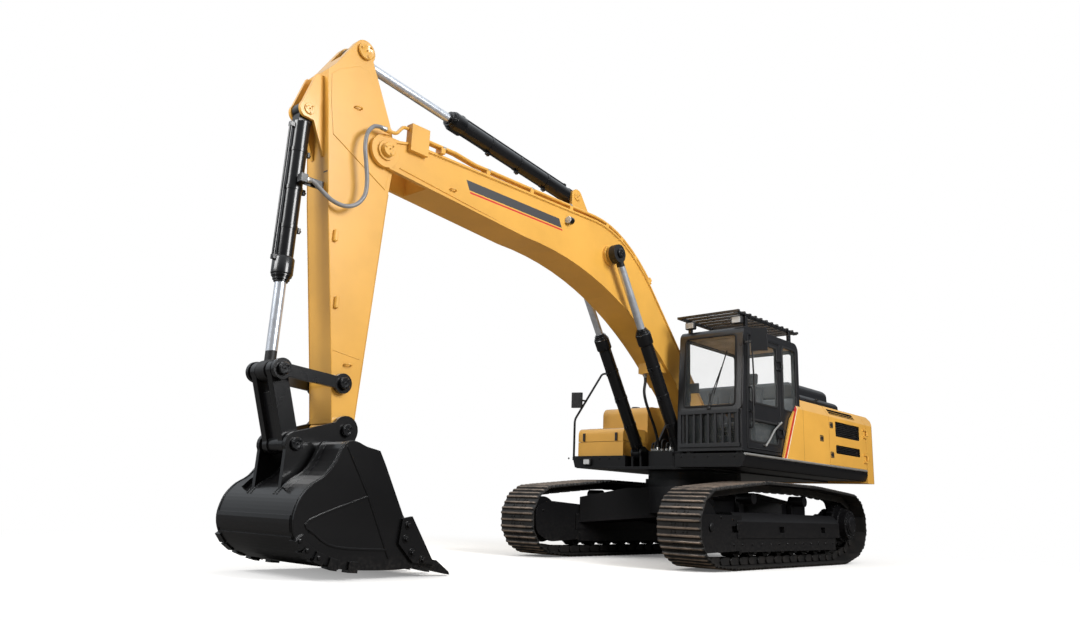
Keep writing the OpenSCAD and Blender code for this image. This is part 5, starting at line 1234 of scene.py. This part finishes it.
# The upper one keeps clear of the pipes beside the boom's nose when the arm swings out
arm_hooks = [lifting_lug(6.587, 4.497, 0.178), lifting_lug(6.44, 1.908, 0.178)]
piece("arm_lugs", pair(joined(arm_hooks)), machine_yellow, "arm")
print("boom and arm fitted")

# %% [markdown]
# ## Floor, world and light
# A studio has a pale floor that fades into a white background, one large soft lamp on the camera's right
# and a weaker one in front. The floor looks white to the camera but returns less light than white paper
# would, as the cut-out picture has a dark underside. It keeps the contact shadow.

# %% Studio


def studio_floor():
    """A wide flat square at the ground: pale with a shadow near the machine, and white further out."""
    edge = np.linspace(-90.0, 90.0, 2)
    x, y = np.meshgrid(edge, edge, indexing="ij")
    part = skin(np.stack([x, y, np.full_like(x, -0.002)], -1))
    material, shader, place = new_finish("studio_floor")
    tree = material.node_tree
    x, y = part_of(place, 0) - 2.0, part_of(place, 1)
    far = (x * x + y * y).root().clamp(2.0, 9.0)
    grey = noise(place, 0.4).clamp(0.2, 0.8).mix((0.86, 0.86, 0.86, 1.0), (0.90, 0.90, 0.90, 1.0))
    feed(shader, Base_Color=far.mix(grey, (0.0, 0.0, 0.0, 1.0)), Roughness=0.9, Specular_IOR_Level=0.0,
         Emission_Color=far.mix((0.12, 0.12, 0.12, 1.0), (1.0, 1.0, 1.0, 1.0)), Emission_Strength=1.0)
    seen = Sock(tree, shader.outputs[0])
    glossy = place.node("LightPath", out="Is Glossy Ray")
    returned = glossy.mix((0.44, 0.37, 0.29, 1.0), (0.08, 0.08, 0.08, 1.0))
    plain = place.node("BsdfDiffuse", None, {"Color": returned})
    looked_at = place.node("LightPath", out="Is Camera Ray")
    shown = place.node("MixShader", None, {0: looked_at, 1: plain, 2: seen})
    output = next(n for n in tree.nodes if n.type == "OUTPUT_MATERIAL")
    tree.links.new(shown.socket, output.inputs["Surface"])
    floor = piece("studio_floor", part, material, None)
    return floor


def soft_lamp(name, spot, aim, size, watts):
    """A square area lamp at a spot, turned to face the aim."""
    data = bpy.data.lights.new(name, "AREA")
    data.size = size
    data.energy = watts
    lamp = bpy.data.objects.new(name, data)
    bpy.context.scene.collection.objects.link(lamp)
    back = np.array(spot, float) - np.array(aim, float)
    back /= np.linalg.norm(back)
    side = np.cross([0.0, 0.0, 1.0], back)
    side /= np.linalg.norm(side)
    turn = np.eye(4)
    turn[:3, :4] = np.column_stack([side, np.cross(back, side), back, spot])
    lamp.matrix_world = Matrix(turn.tolist())
    return lamp


studio_floor()
soft_lamp("key_lamp", (3.0, 13.0, 8.0), (2.0, 0.0, 2.0), 6.0, 1980.0)
soft_lamp("front_lamp", (15.0, -3.0, 9.0), (3.0, 0.0, 2.0), 6.0, 1120.0)
world = bpy.data.worlds.new("studio")
bpy.context.scene.world = world
world.use_nodes = True
sky = Sock(world.node_tree)
world.node_tree.nodes.clear()
path = sky.node("LightPath", out="Is Camera Ray") + sky.node("LightPath", out="Is Transmission Ray")
way = sky.node("TexCoord", out="Generated")
upness = part_of(way, 2)
front_right = (part_of(way, 0) - part_of(way, 1)) * 0.7
soft = 0.10 + upness.clamp(0.0, 0.9) * 0.85
mirrored_light = 0.02 + upness.clamp(0.1, 0.95) * 0.9 + front_right.clamp(0.4, 0.95) * 0.35
glossy = sky.node("LightPath", out="Is Glossy Ray")
tint = glossy.mix((1.0, 0.97, 0.92, 1.0), (0.90, 0.95, 1.0, 1.0))
dim = sky.node("Background", None, {"Color": tint, "Strength": soft + glossy * (mirrored_light - soft)})
white = sky.node("Background", None, {"Color": (1.0, 1.0, 1.0, 1.0), "Strength": 1.0})
shown = sky.node("MixShader", None, {0: path.math("MINIMUM", path, 1.0), 1: dim, 2: white})
world_out = world.node_tree.nodes.new("ShaderNodeOutputWorld")
world.node_tree.links.new(shown.socket, world_out.inputs["Surface"])
bpy.context.scene.view_settings.view_transform = "Standard"
print("studio lit")
